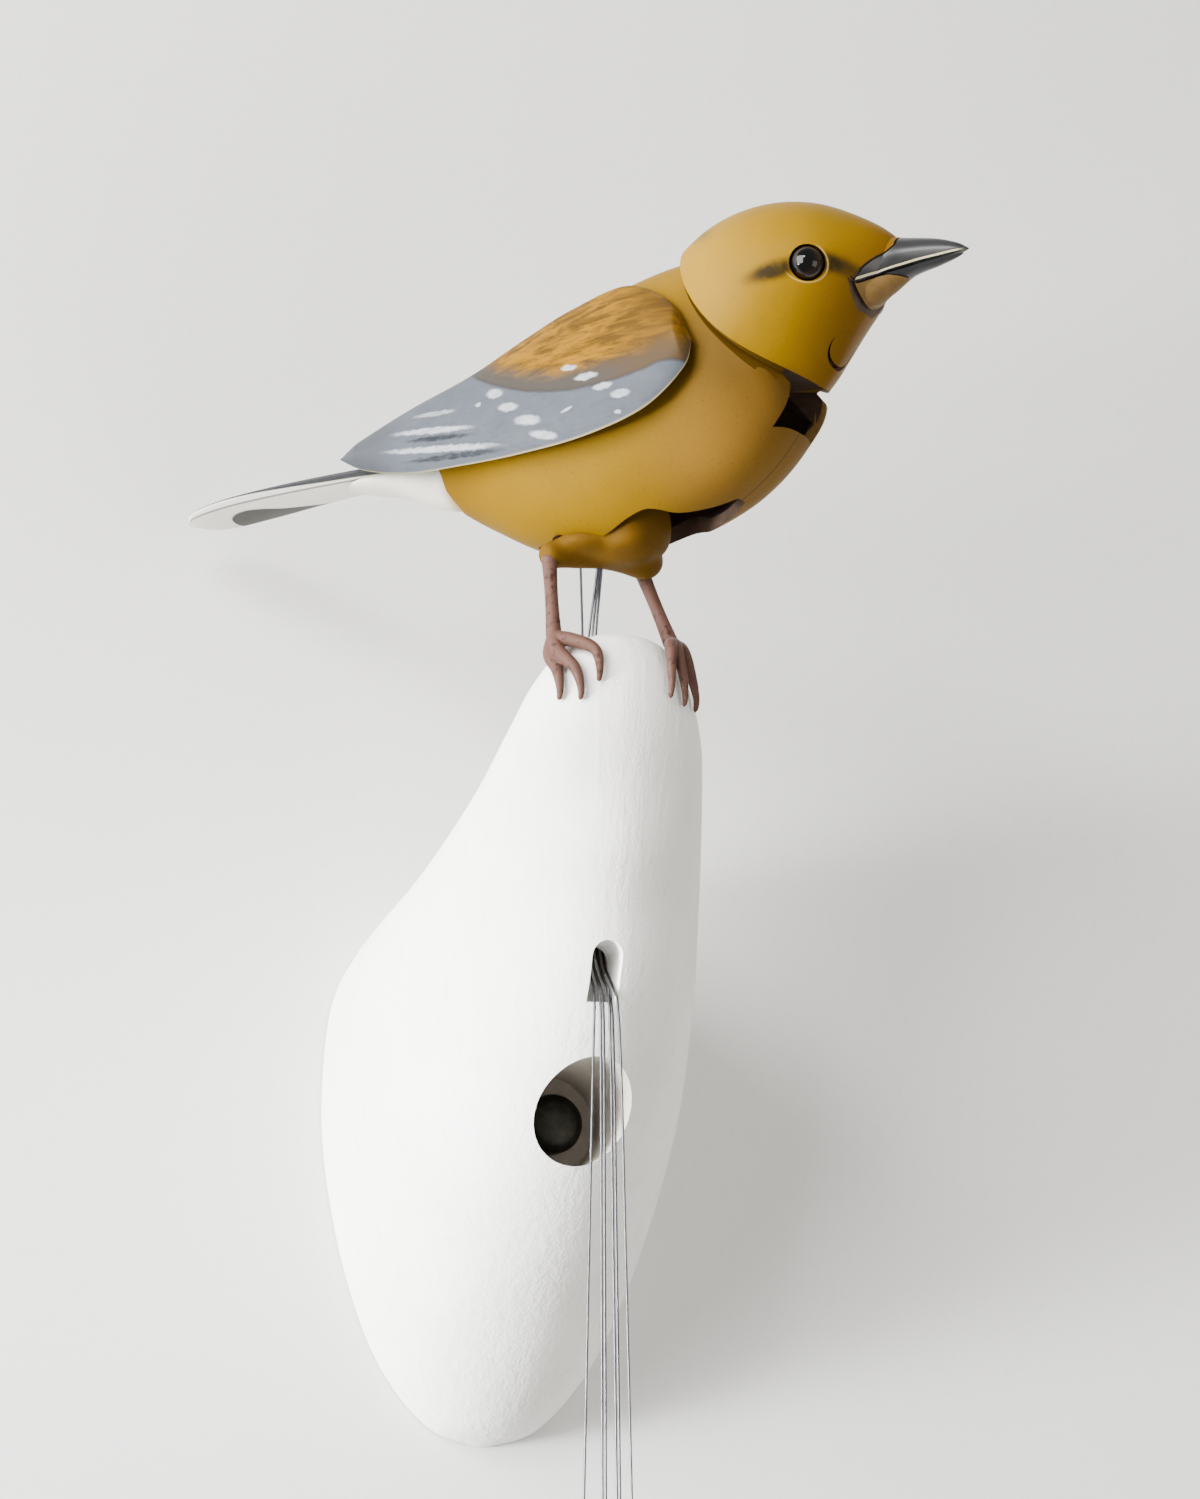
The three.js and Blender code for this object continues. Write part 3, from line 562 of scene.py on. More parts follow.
recessDisc, boltDisc = disc(perchSet["recessRadius"], 96), disc(perchSet["boltHole"], 32)
cutters = [
    coat(boxForm("behindWall", (-80, 0, -90), (80, 90, 90), wallPlace), perchPaint),
    bored("slotCut", arch, perchSet["slotX"], 0, -70, perchSet["slotBack"], perchPaint),
    coat(limb("channelCut", perchSet["channel"], lambda t: channelSpan, 32, 60, wallPlace), boreShadeCoat),
    bored("boreCut", recessDisc, 0, perchSet["recessZ"], -72, perchSet["recessFloor"], boreShadeCoat),
    bored("boltHole", boltDisc, 0, perchSet["recessZ"], -40, 5, boreShadeCoat),
]
carve(perch, cutters)
smoothed(perch, 40)
dress(perch, "stand", ["perch"])
print("perch carved")

# Fixing bolt
boltSet = {
    "floor": -31.3,
    "z": -8.3,
    # a low domed head with a rounded shoulder, then the shank into the wall: radius and depth
    "profile": (
        (0, -5.0), (2.0, -4.95), (3.6, -4.6), (4.45, -3.9), (4.7, -3.0), (4.7, -0.1), (4.6, 0), (2.0, 0),
        (2.0, 30.9), (0, 30.9),
    ),
}

# a dull near-black glint
boltSteel, shader, space = newFinish("blackenedBoltSteel", {"Metallic": 0.8, "Roughness": 0.45}, wallSpace)
finished(shader, node("mix", node("noise", space, 1 / 1.2), "#161715", "#35342F"))


def boltRing(t, angle):
    profile = boltSet["profile"]
    row = t * (len(profile) - 1)
    i = min(len(profile) - 2, int(row))
    reach, deep = (profile[i][k] + (profile[i + 1][k] - profile[i][k]) * (row - i) for k in (0, 1))
    return reach * math.cos(angle), boltSet["floor"] + deep, boltSet["z"] + reach * math.sin(angle)


bolt = coat(loft("boltForm", boltRing, 48, 27, wallPlace), boltSteel)
smoothed(bolt, 35)
dress(bolt, "stand", ["fixing_bolt"])
print("fixing bolt set")

# Forms that the bird's pieces are cut from
bodyRows = {
    "backX": (-38, -31, -21.5, -12.6, -3.7, 5.1, 12, 17.5, 22, 28),
    "backZ": (95.5, 98.8, 106.4, 112.4, 117, 120, 121.6, 122, 120.5, 110),
    "bellyX": (-38, -29.5, -21.4, -12.6, -1.5, 10, 21.1, 29.1, 32.7, 28),
    "bellyZ": (95.5, 88.2, 83, 78.8, 77.4, 79, 83.5, 90.6, 98.4, 110),
    "width": (0, 5.4, 9.6, 12.5, 13.9, 14.3, 14.1, 13.4, 11.8, 0),
}
headRows = {
    "backX": (17, 7.6, 13, 19.9, 28, 35.7, 42.8, 47.2, 49.2),
    "backZ": (105, 117.6, 123.7, 127.8, 129.3, 128.3, 125.1, 121.9, 118.6),
    "bellyX": (17, 28.4, 34.9, 37.8, 40, 41.8, 43.5, 46, 49.2),
    "bellyZ": (105, 92.9, 99.3, 103.4, 107, 109.7, 112, 113.8, 118.6),
    "width": (0, 12.5, 14.6, 14.8, 14, 12.1, 8.2, 4.2, 0),
}
headFullness = (1, 1.3)
billRows = {
    "backX": (39, 42.5, 46, 49.5, 54, 57.4, 59.4),
    "backZ": (117, 121.4, 121.8, 121.3, 120.6, 119.5, 118.3),
    "bellyX": (39, 42.5, 46, 49.8, 54, 57.4, 59.4),
    "bellyZ": (117, 111.6, 112.9, 115.2, 116.2, 117.2, 118.3),
    "width": (0, 4.6, 4.2, 3, 1.8, 0.9, 0),
}
covertRows = {
    "backX": (-21, -24, -31, -38, -45, -52),
    "backZ": (90.5, 94, 95.6, 95.4, 94.6, 93.8),
    "bellyX": (-21, -24, -31, -38, -45, -52),
    "bellyZ": (90.5, 87.6, 87.9, 90.6, 92.3, 93.8),
    "width": (0, 3.4, 4.6, 4.6, 4.2, 0),
}
faceSet = {
    "neck": (23.9, 111.7),
    "neckRadius": 14.9,
    "neckHalfWidth": 13.1,
    "rimBack": (14.1, 124.3),
    "rimThroat": (34.7, 99.5),
    "rimBow": 4.4,
    "headHalfWidth": 14.8,
    "gapeLine": [(42.8, 113.8), (44.5, 114.6), (47, 115.6), (50.9, 116.7), (55, 117.45), (59.6, 118.25)],
    "faceLine": [(48.5, 121.4), (48.4, 119.6), (47.3, 118.4), (45.9, 117.2), (44.3, 115.7)],
    "chinLine": [(39.8, 113.6), (42.8, 113.6), (44.4, 114.45), (47.2, 115.05), (50.8, 114.85), (62, 112)],
    "farAbove": [(70, 119.5), (62, 130), (49, 130)],
    "farBelow": [(70, 118), (62, 104)],
    "jawBack": [(46, 112.3), (42.7, 110.9)],
    "jawRoomBack": [(47, 110.2), (42.1, 110.2), (42.6, 114.2)],
    "gap": 0.34,
}
eyeSet = {"x": 37.4, "y": 11.5, "z": 115.9, "radius": 2.6}
buttonSet = {"x": 38.5, "z": 105.2, "turn": 28, "halves": (1.7, 3.9, 2.9), "room": 0.25, "drop": 0.4}


def rowForm(name, rows, around, along, inset=0.0, fullness=(1, 1)):
    def ring(row, angle):
        t = easedEnds(row)
        upX, upZ, downX, downZ = (rowValue(rows[key], t) for key in ("backX", "backZ", "bellyX", "bellyZ"))
        tall = math.hypot(upX - downX, upZ - downZ) / 2
        shrink = max(0.0, tall - inset) / tall if tall > 1e-9 else 0.0
        across = max(0.0, rowValue(rows["width"], t) - inset)
        lift, turn = math.cos(angle) * shrink, math.sin(angle)
        bulge = abs(turn) ** (fullness[0] if lift > 0 else fullness[1])
        out = math.copysign(bulge, turn) * across if tall > 1e-9 else 0.0
        return (upX + downX + lift * (upX - downX)) / 2, out, (upZ + downZ + lift * (upZ - downZ)) / 2

    return loft(name, ring, around, along)


def eyeBall(name, side, radius, around, along):
    return ballForm(name, (eyeSet["x"], side * eyeSet["y"], eyeSet["z"]), (radius,) * 3, around, along)


rimRun = Vector(faceSet["rimThroat"]) - Vector(faceSet["rimBack"])
rimAlong = rimRun.normalized()
rimOut = Vector((rimAlong.y, -rimAlong.x))


def belowRim(name, offset):
    # all that lies beyond the head's rim, bowed outwards at the flanks
    bow, half, reach = faceSet["rimBow"], faceSet["headHalfWidth"], 20
    edge = [(y, offset + bow * (y / half) ** 2) for y in range(-reach, reach + 1)]
    start = Vector(faceSet["rimBack"]) - rimAlong * 45
    outline = [(-reach, 60)] + edge + [(reach, 60)]
    out, along = (rimOut.x, 0, rimOut.y), (rimAlong.x, 0, rimAlong.y)
    return extruded(name, outline, (start.x, 0, start.y), alongY, out, along, 130)


def grownSlab(name, outline, gap):
    # the cut for a neighbouring piece, with the gap that the pieces keep
    whole = slab(name, outline)
    for x, z in ((gap, 0), (-gap, 0), (0, gap), (0, -gap)):
        moved = slab("moved", [(a + x, b + z) for a, b in outline])
        carve(whole, [moved], "UNION")
    return whole


gapeLine = faceSet["gapeLine"]
aboveGape = gapeLine + faceSet["farAbove"]
billOutline = aboveGape + faceSet["faceLine"]
jawOutline = gapeLine + faceSet["farBelow"] + faceSet["jawBack"]
jawRoomOutline = gapeLine + faceSet["farBelow"] + faceSet["jawRoomBack"]
chinOutline = faceSet["chinLine"] + [(62, 100), (36, 100)]
neckX, neckZ = faceSet["neck"]

# Inside of the bird: dark brown, seen in the notch and openings
insideWood, shader, space = newFinish("stainedWoodInside", {"Roughness": 0.8})
insideGrain = node("noise", node("place", space, Scale=(0.2, 1, 1)), 1 / 1.1, 4)
finished(shader, node("mix", insideGrain, "#2E2018", "#5A4332"), insideGrain, 0.3, 0.2)
print("bird's forms ready")

# Head
# satin yellow, a painted highlight of sheen by the rim at the side of the face, olive on the crown's back,
# painted shade darkening the throat
headPaint, shader, space = newFinish("airbrushedHeadYellow", {"Roughness": 0.45, "Specular IOR Level": 0.05})
hx, _, hz = node("axes", space)
tone = node("mix", node("noise", space, 1 / 9, 3, 0.55), "#745700", "#846400")
# painted shade: darker towards the throat, the side turned from the light
throatShade = node("ramp", node("minus", hx, node("times", hz, 0.55)), -28, -13)
# painted highlight: a pale sheen on the side of the face by the head's rim
paintedCheekSheen = daub(space, (17.5, 116), (10, 9.5), 45, 0.75)
crownBack = daub(space, (15.5, 125.8), (5.5, 1.7), -31, 0.5)
tone = layered(
    tone,
    (throatShade, "#5C3A0C"),
    (node("times", paintedCheekSheen, 0.4), "#A5822C"),
    (node("times", crownBack, 0.75), "#54461C"),
)
stripeWarp = node("noise", space, 1 / 1.6, 4)
for centre, halves, tilt, strength in (
    ((32.9, 114.6), (4.1, 1.35), 14, 1.0),
    ((40.2, 115.9), (3.0, 1.4), -11, 1.0),
    ((43.2, 114.6), (1.5, 1.2), -35, 0.5),
):
    stripe = daub(space, centre, halves, tilt, 0.55)
    stripe = node("times", stripe, node("ramp", stripeWarp, 0.25, 0.6, strength * 0.7, strength))
    tone = node("mix", stripe, tone, "#2A210C")
ringFar = farFrom(space, (eyeSet["x"], eyeSet["z"]))
ringMask = node("times", node("ramp", ringFar, 2.95, 3.0), node("ramp", ringFar, 3.1, 3.25, 1, 0))
ringMask = node("times", ringMask, node("ramp", node("minus", hx, hz), -80, -77.5))
speckle = node("noise", space, 1 / 0.35, 2, 0.7)
tone = layered(
    tone,
    (node("times", ringMask, 0.6), "#B89C5C"),
    (node("ramp", speckle, 0.58, 0.75, 0, 0.3), "#402A04"),
)
finished(shader, tone, speckle, 0.12, 0.08)

# bare darker edge where the shell was cut
rimEdge, shader, space = newFinish("rubbedEdgeOfHeadShell", {"Roughness": 0.6})
finished(shader, node("mix", node("noise", space, 1 / 1), "#6E4A1C", "#A2742C"))


def headWhole(name, material):
    skull = coat(rowForm(name, headRows, 112, 84, 0, headFullness), material)
    bill = coat(rowForm("billForm", billRows, 72, 56), material)
    return carve(skull, [bill], "UNION")


head = headWhole("headShell", headPaint)
neckRoom = faceSet["neckRadius"] + 0.5, faceSet["neckHalfWidth"] + 0.5, faceSet["neckRadius"] + 0.5
socketReach = eyeSet["radius"] + 0.3
seatHalves = tuple(h + buttonSet["room"] for h in buttonSet["halves"])
seatSpot = buttonSet["x"] - 0.2, 0, buttonSet["z"] - buttonSet["drop"]
carve(
    head,
    [
        coat(belowRim("rimCut", 0), rimEdge),
        coat(ballForm("neckCut", (neckX, 0, neckZ), neckRoom, 64, 48), insideWood),
        coat(grownSlab("billCut", billOutline, faceSet["gap"]), insideWood),
        coat(grownSlab("jawCut", jawRoomOutline, faceSet["gap"]), insideWood),
        coat(eyeBall("socketNear", -1, socketReach, 64, 48), insideWood),
        coat(eyeBall("socketFar", 1, socketReach, 64, 48), insideWood),
        coat(ballForm("buttonCut", seatSpot, seatHalves, 64, 40, tip=buttonSet["turn"]), insideWood),
    ],
)
smoothed(head, 35)
dress(head, "head", ["head"])
print("head cut")

# Bill and chin
# dark satin grey, the light runs along its ridge
billHorn, shader, space = newFinish("polishedSlateBill", {"Roughness": 0.32})
bx, _, bz = node("axes", space)
hornGrain = node("noise", node("place", space, Scale=(0.18, 1, 1)), 1 / 0.8, 4)
tone = node("mix", hornGrain, "#151517", "#2B2B2E")
aboveCut = node("minus", bz, lineHeight(bx, gapeLine))
creamBand = node("times", node("ramp", aboveCut, 0.05, 0.12), node("ramp", aboveCut, 0.28, 0.4, 1, 0))
creamBand = node("times", creamBand, node("ramp", bx, 57.2, 58.8, 1, 0))
tone = node("mix", node("times", creamBand, 0.92), tone, "#C8BE9C")
finished(shader, tone, hornGrain, 0.15, 0.08)

upperBill = headWhole("upperBill", billHorn)
carve(upperBill, [coat(slab("billRegion", billOutline), billHorn)], "INTERSECT")
smoothed(upperBill, 35)
dress(upperBill, "head", ["upper_bill"])


def jawWhole(name, material):
    jaw = headWhole(name, material)
    carve(jaw, [coat(slab("jawRegion", jawOutline), material)], "INTERSECT")
    return carve(jaw, [coat(grownSlab("aboveGape", aboveGape, faceSet["gap"]), material)])


lowerBill = jawWhole("lowerBill", billHorn)
carve(lowerBill, [coat(grownSlab("chinCut", chinOutline, faceSet["gap"] / 2), billHorn)])
smoothed(lowerBill, 35)
dress(lowerBill, "jaw", ["lower_bill"])

# paler buff yellow than the head, shaded below
chinPaint, shader, space = newFinish("buffChinPaint", {"Roughness": 0.5, "Specular IOR Level": 0.08})
tone = node("mix", node("noise", space, 1 / 1.2, 4), "#664E27", "#7C613B")
chinZ = node("axes", space)[2]
finished(shader, node("mix", node("ramp", chinZ, 109.5, 111.6, 0.6, 0), tone, "#3C2A14"))
chin = jawWhole("chinPiece", chinPaint)
carve(chin, [coat(slab("chinRegion", chinOutline), insideWood)], "INTERSECT")
smoothed(chin, 35)
dress(chin, "jaw", ["chin_piece"])

button = headWhole("throatButton", headPaint)
buttonSpot = buttonSet["x"], 0, buttonSet["z"]
buttonRegion = ballForm("buttonRegion", buttonSpot, buttonSet["halves"], 56, 36, tip=buttonSet["turn"])
carve(button, [coat(buttonRegion, headPaint)], "INTERSECT")
smoothed(button)
dress(button, "head", ["throat_button"])
print("bill, chin and throat button made")

# Eyes
# near black, a brown iris ring at its edge, one sharp window of light
eyeGlass, shader, space = newFinish("glossyDarkGlassEye", {"Roughness": 0.05, "Specular IOR Level": 0.3})
irisFar = farFrom(space, (eyeSet["x"], eyeSet["z"]))
irisTone = node("mix", node("noise", space, 1 / 0.4, 3), "#120804", "#241006")
finished(shader, node("mix", node("ramp", irisFar, 1.9, 2.4), "#020202", irisTone))
for side, end in ((-1, "Near"), (1, "Far")):
    eye = smoothed(coat(eyeBall("glassEye" + end, side, eyeSet["radius"], 64, 40), eyeGlass))
    dress(eye, "head", ["eye_" + end.lower()])
print("eyes set")

# Body
# satin yellow, browner towards the front in paint and in painted shade, painted shade on the neck front, fine
# sprayed grain, a hairline centre seam
bodyPaint, shader, space = newFinish("airbrushedBodyYellow", {"Roughness": 0.5, "Specular IOR Level": 0.04})
ox, oy, oz = node("axes", space)
tone = node("mix", node("noise", space, 1 / 8, 3, 0.55), "#6B5000", "#795B00")
# brown paint towards the front, together with painted shade on the side turned from the light
breastPaintAndShade = node("ramp", node("minus", ox, node("times", oz, 0.25)), -22, 6, 0, 0.85)
lowBreast = node("times", node("ramp", ox, 8, 22), node("ramp", oz, 86, 96, 0.75, 0))
# painted shade on the neck front, turned from the light
neckShade = node("times", node("ramp", ox, 12, 26), node("ramp", oz, 93, 101, 0, 0.55))
sprayed = node("noise", space, 1 / 0.4, 2, 0.7)
seamLine = node("ramp", node("unsigned", oy), 0.07, 0.16, 1, 0)
seamLine = node("times", seamLine, node("ramp", oz, 96, 100, 0.8, 0))
tone = layered(
    tone,
    (breastPaintAndShade, "#5E431A"),
    (lowBreast, "#7A5A20"),
    (neckShade, "#3C2A04"),
    (node("ramp", ox, -30, -12, 0.4, 0), "#5C3F06"),
    (node("ramp", oz, 112, 119, 0, 0.3), "#8A6A1A"),
    (node("ramp", sprayed, 0.56, 0.74, 0, 0.34), "#3A2604"),
    (seamLine, "#33220C"),
)
finished(shader, tone, sprayed, 0.12, 0.08)

bodySet = {
    "wall": 1.7,
    "fullness": (0.88, 0.7),
    "rearCut": ((-32.4, 96), (-26.4, 86.6), (-30, 80), (-50, 80), (-50, 108), (-37, 103)),
    "notch": [(26, 91.4), (42, 96), (42, 101.6), (26, 101.6)],
    "notchHalfWidth": 6.6,
    "opening": (
        (-13.5, 1.2), (-12.8, 3.2), (-10, 4.1), (-5.2, 4.7), (0, 6.4), (5, 8.3), (8.6, 8.7), (10.6, 7.9),
        (12.5, 6.4), (16.5, 4), (20.8, 1.3),
    ),
    "skin": 1.1,
    "tailRoom": ((-27.5, 0, 92.4), (10, 6, 6.2)),
    "sweepShare": 1.05,
    "rimClearance": 1.4,
    "neckDepth": 5,
}
hipSet = {
    "x": -2.6,
    "reach": 9.9,
    "top": 86.5,
    "bottom": 76.4,
    "room": 0.45,
    "barRoom": 0.7,
    "bar": (
        (-8.3, -9.1, 75.9), (-7, -5.8, 76.7), (-5, -2.5, 77.6), (-2.8, 0.5, 78.2), (-0.6, 3.5, 78.1),
        (0.6, 6.2, 77.6), (0.5, 8.9, 77.2),
    ),
    "barReach": (2.6, 2.3, 2.7, 3, 3.3, 3.3, 2.9),
    "swell": ((-0.9, 0.2, 79.4), (8.2, 6.6, 4.2)),
    "fill": ((-4.4, -3.6, 78.2), (5.2, 5.4, 2.0)),
    "voxel": 0.25,
    "relaxings": 140,
}


def openingHalf(x):
    rows = bodySet["opening"]
    i = next((i for i in range(1, len(rows)) if rows[i][0] >= x), len(rows) - 1)
    (x0, y0), (x1, y1) = rows[i - 1], rows[i]
    return y0 + (y1 - y0) * (x - x0) / (x1 - x0)


def hipMiddle():
    # fills the rear of the belly opening
    def blunt(value):
        return math.copysign(abs(value) ** 0.7, value)

    def ring(t, angle):
        out = abs(math.sin(math.pi * t)) ** 0.35 if 0 < t < 1 else 0
        middle, half = (hipSet["top"] + hipSet["bottom"]) / 2, (hipSet["top"] - hipSet["bottom"]) / 2
        run = hipSet["x"] + hipSet["reach"] * blunt(math.cos(angle))
        across = (openingHalf(run) - hipSet["room"]) * blunt(math.sin(angle))
        x = hipSet["x"] + hipSet["reach"] * out * blunt(math.cos(angle))
        return x, across * out, middle + half * blunt(math.cos(math.pi * t))

    return loft("hipMiddle", ring, 64, 48)


def hipBar(extra):
    # the bar below the body that ends in the two leg cuffs
    spots = [Vector(p) for p in hipSet["bar"]]
    route = [spots[0] + (spots[0] - spots[1]) * 0.3] + spots + [spots[-1] + (spots[-1] - spots[-2]) * 0.3]

    def reachAt(t):
        end = min(1.0, t / 0.16, (1 - t) / 0.16)
        return (rowValue(hipSet["barReach"], t) + extra) * math.sqrt(1 - 0.6 * (1 - end) ** 2)

    return limb("hipBar", [tuple(p) for p in route], reachAt, 48, 60)


body = coat(rowForm("bodyShell", bodyRows, 128, 100, 0, bodySet["fullness"]), bodyPaint)


def swept(key, value):
    # a row of the head grown about the neck's centre, for the room that the head sweeps through
    share = bodySet["sweepShare"]
    centre = 0 if key == "width" else neckX if key.endswith("X") else neckZ
    return centre + share * (value - centre)


sweepRows = {key: tuple(swept(key, value) for value in values) for key, values in headRows.items()}
sweep = coat(rowForm("headSweep", sweepRows, 112, 84), bodyPaint)
carve(sweep, [coat(belowRim("sweepRim", bodySet["rimClearance"]), bodyPaint)])
carve(body, [sweep])
neckHalves = faceSet["neckRadius"], faceSet["neckHalfWidth"], faceSet["neckRadius"]
carve(body, [coat(ballForm("neckBall", (neckX, 0, neckZ), neckHalves, 72, 52), bodyPaint)], "UNION")
hollow = coat(rowForm("hollow", bodyRows, 72, 60, bodySet["wall"], bodySet["fullness"]), insideWood)
carve(hollow, [coat(belowRim("hollowRim", bodySet["neckDepth"]), insideWood)], "INTERSECT")


def notchSlab(name):
    half = bodySet["notchHalfWidth"]
    return extruded(name, bodySet["notch"], (0, -half, 0), alongX, alongZ, alongY, 2 * half)


# a thin light line round the notch
edgeWood, shader, space = newFinish("paleCutEdgeOfBodyShell", {"Roughness": 0.6})
finished(shader, node("mix", node("noise", space, 1 / 0.8), "#6F5326", "#A78347"))
notchCore = coat(rowForm("notchCore", bodyRows, 72, 60, bodySet["skin"], bodySet["fullness"]), insideWood)
carve(notchCore, [coat(notchSlab("notchRegion"), insideWood)], "INTERSECT")
rounded, _ = catmull([(x, y, 0) for x, y in bodySet["opening"]], 40)
openingOutline = [(p.x, -p.y) for p in rounded] + [(p.x, p.y) for p in reversed(rounded)]
carve(
    body,
    [
        hollow,
        coat(slab("rearCut", bodySet["rearCut"]), insideWood),
        coat(ballForm("tailRoom", *bodySet["tailRoom"]), insideWood),
        notchCore,
        coat(notchSlab("notchCut"), edgeWood),
        coat(extruded("bellyCut", openingOutline, (0, 0, 60), alongX, alongY, alongZ, 28), insideWood),
        coat(hipBar(hipSet["barRoom"]), insideWood),
    ],
)
smoothed(body, 35)
dress(body, "body", ["body"])
print("body cut")

# Hip block
# browner ochre than the body, with a fine darker speckle
hipPaint, shader, space = newFinish("ochreHipBlockPaint", {"Roughness": 0.6, "Specular IOR Level": 0.04})
tone = node("mix", node("noise", space, 1 / 4, 4, 0.6), "#50370A", "#624610")
tone = node("mix", node("ramp", node("noise", space, 1 / 0.4, 2, 0.7), 0.56, 0.74, 0, 0.35), tone, "#432D0C")
finished(shader, tone, node("noise", space, 1 / 0.5, 3), 0.12, 0.1)
hipForms = [hipMiddle(), hipBar(0)] + [ballForm(part, *hipSet[part]) for part in ("swell", "fill")]
hip = melted("hipBlock", hipForms, hipSet["voxel"])
coat(relaxed(hip, 0.5, hipSet["relaxings"]), hipPaint)
smoothed(hip, 60)
dress(hip, "stand", ["hip_block"])

# Legs
# dull pink with brown blotches
legGloss = {"Roughness": 0.55, "Specular IOR Level": 0.12}
legPaint, shader, space = newFinish("mottledFleshLegPaint", legGloss, wallSpace)
tone = node("mix", node("noise", space, 1 / 2.2, 3), "#4B322B", "#60463D")
blotch = node("ramp", node("noise", space, 1 / 1.1, 4, 0.6), 0.52, 0.68, 0, 0.75)
tone = node("mix", blotch, tone, "#261611")
finished(shader, tone, node("noise", space, 1 / 0.6, 4), 0.3, 0.15)

legShape = {
    "shank": 1.3,
    "waist": 0.25,
    "ankleBall": (1.25, 1.25, 1.3),
    "toe": 1.2,
    "toeTaper": 0.85,
    "toeLifts": (2, 1.3, 1.1),
    "clawDrop": 1.4,
    "clawLift": 0.5,
    "voxel": 0.16,
}
legSets = {
    "near": {
        "hip": (-8, -9, 76),
        "ankle": (-6.9, -9.4, 62.6),
        "toes": (
            ((-50, 59.4), (-36, 56.6), (-28, 53.4)),
            ((-40, 59.4), (-22, 56.6), (-14, 53.2)),
            ((-36, 61.4), (-12, 59.6), (-5, 56)),
            ((-125, 61.5), (-150, 58)),
        ),
    },
    "far": {
        "hip": (-1.3, 8.8, 77.4),
        "ankle": (4.2, 9.2, 64),
        "toes": (
            ((52, 60.6), (47, 57.4), (44, 54.2)),
            ((60, 60.6), (58, 57), (56, 53.4)),
            ((74, 60.6), (73, 57), (70, 53.2)),
            ((118, 61), (136, 57)),
        ),
    },
}


def onDome(bearing, z, lift):
    # a point that stands off the perch's dome, named by its bearing in the view and its height
    t = perchRow(z)
    x, y, _ = perchSpot(t, -math.pi / 2 - math.radians(20 - bearing))
    centre = rowValue(perchSet["centreY"], t)
    grow = 1 + lift / math.hypot(x, y - centre)
    return x * grow, centre + (y - centre) * grow, z + lift * 0.25


def shankRadius(t):
    return legShape["shank"] - legShape["waist"] * math.sin(math.pi * t)


def toeRadius(t):
    return legShape["toe"] - legShape["toeTaper"] * t * t


for side, legSet in legSets.items():
    hipSpot, ankle = Vector(legSet["hip"]), Vector(legSet["ankle"])
    along = [birdPlace(*hipSpot.lerp(ankle, share)) / mm for share in (0, 0.3, 0.55, 0.8, 1)]
    foot = tuple(along[-1])
    forms = [limb("shank", along, shankRadius, 20, 30, wallPlace)]
    forms.append(ballForm("ankleBall", foot, legShape["ankleBall"], 24, 18, wallPlace))
    for toe in legSet["toes"]:
        route = [foot] + [onDome(view, z, lift) for (view, z), lift in zip(toe, legShape["toeLifts"])]
        route.append(onDome(toe[-1][0], toe[-1][1] - legShape["clawDrop"], legShape["clawLift"]))
        forms.append(limb("toe", route, toeRadius, 16, 30, wallPlace))
    leg = melted(f"{side}Leg", forms, legShape["voxel"])
    coat(relaxed(leg, 0.5, 2), legPaint)
    smoothed(leg, 60)
    dress(leg, "stand", [f"leg_{side}"])
print("hip block and legs made")

# Wings
wingSet = {
    "upperX": (19.9, 15.6, 7, -3.5, -13, -23, -34, -42.4, -47),
    "upperY": (-15.6, -13.8, -11.4, -9.6, -8.2, -7, -6.2, -6, -6.5),
    "upperZ": (105.2, 112, 116.6, 114.8, 111.4, 107.2, 103.5, 99.8, 96.6),
    "lowerX": (19.9, 18.9, 12.6, 2.4, -9.5, -21, -32, -41.5, -47),
    "lowerY": (-15.6, -16.4, -17.2, -17.2, -15.6, -13, -10.4, -8, -6.5),
    "lowerZ": (105.2, 100.6, 94.9, 91.7, 90.7, 90.9, 91.6, 93.8, 96.6),
    "bow": 1.9,
    "halfThickness": 0.7,
}


def wingRing(row, angle):
    t = easedEnds(row)
    upper = [rowValue(wingSet[key], t) for key in ("upperX", "upperY", "upperZ")]
    lower = [rowValue(wingSet[key], t) for key in ("lowerX", "lowerY", "lowerZ")]
    across = math.cos(angle)
    closing = min(1.0, math.sin(math.pi * t) * 3)
    bow = (1 - across * across) * wingSet["bow"] * closing
    thick = math.sin(angle) * wingSet["halfThickness"] * closing
    x, y, z = ((u + l + across * (u - l)) / 2 for u, l in zip(upper, lower))
    return x, y - bow - thick, z


# blue-grey below, brown-gold mantle above, white dabs, pale stripes with painted shadow lines under them,
# cream rubbed edge
wingPaint, shader, space = newFinish("streakedWingPaint", {"Roughness": 0.5, "Specular IOR Level": 0.08})
wx, _, wz = node("axes", space)
wingBoundary = [
    (-22.5, 106.9), (-13.1, 102.2), (-6, 100.1), (0, 99.4),
    (6.1, 99.6), (11.8, 100.6), (17.1, 101.6), (18.9, 101.5),
]
strokeSpace = node("place", space, Rotation=(0, math.radians(-18), 0), Scale=(0.16, 1, 1))
strokes = node("noise", strokeSpace, 1 / 1.5, 5, 0.6, 0.6)
fineStrokes = node("noise", strokeSpace, 1 / 0.5, 4, 0.6)
softPatch = node("noise", space, 1 / 3.5, 4, 0.55)
greyTone = node("mix", softPatch, "#41464F", "#555A63")
greyTone = layered(
    greyTone,
    (node("ramp", fineStrokes, 0.5, 0.75, 0, 0.4), "#383C44"),
    (node("ramp", wx, -40, -33, 0.6, 0), "#3C3E42"),
)
boundary = lineHeight(wx, wingBoundary)
overLine = node("minus", node("plus", wz, node("times", softPatch, 0.8)), boundary)
mantleEdge = node("ramp", node("plus", overLine, node("times", strokes, 2.4)), 3.2, 6.6)
mantleTone = node("mix", node("ramp", strokes, 0.35, 0.65), "#4A3302", "#805A02")
mantleTone = node("mix", node("ramp", fineStrokes, 0.5, 0.72, 0, 0.55), mantleTone, "#2E2010")
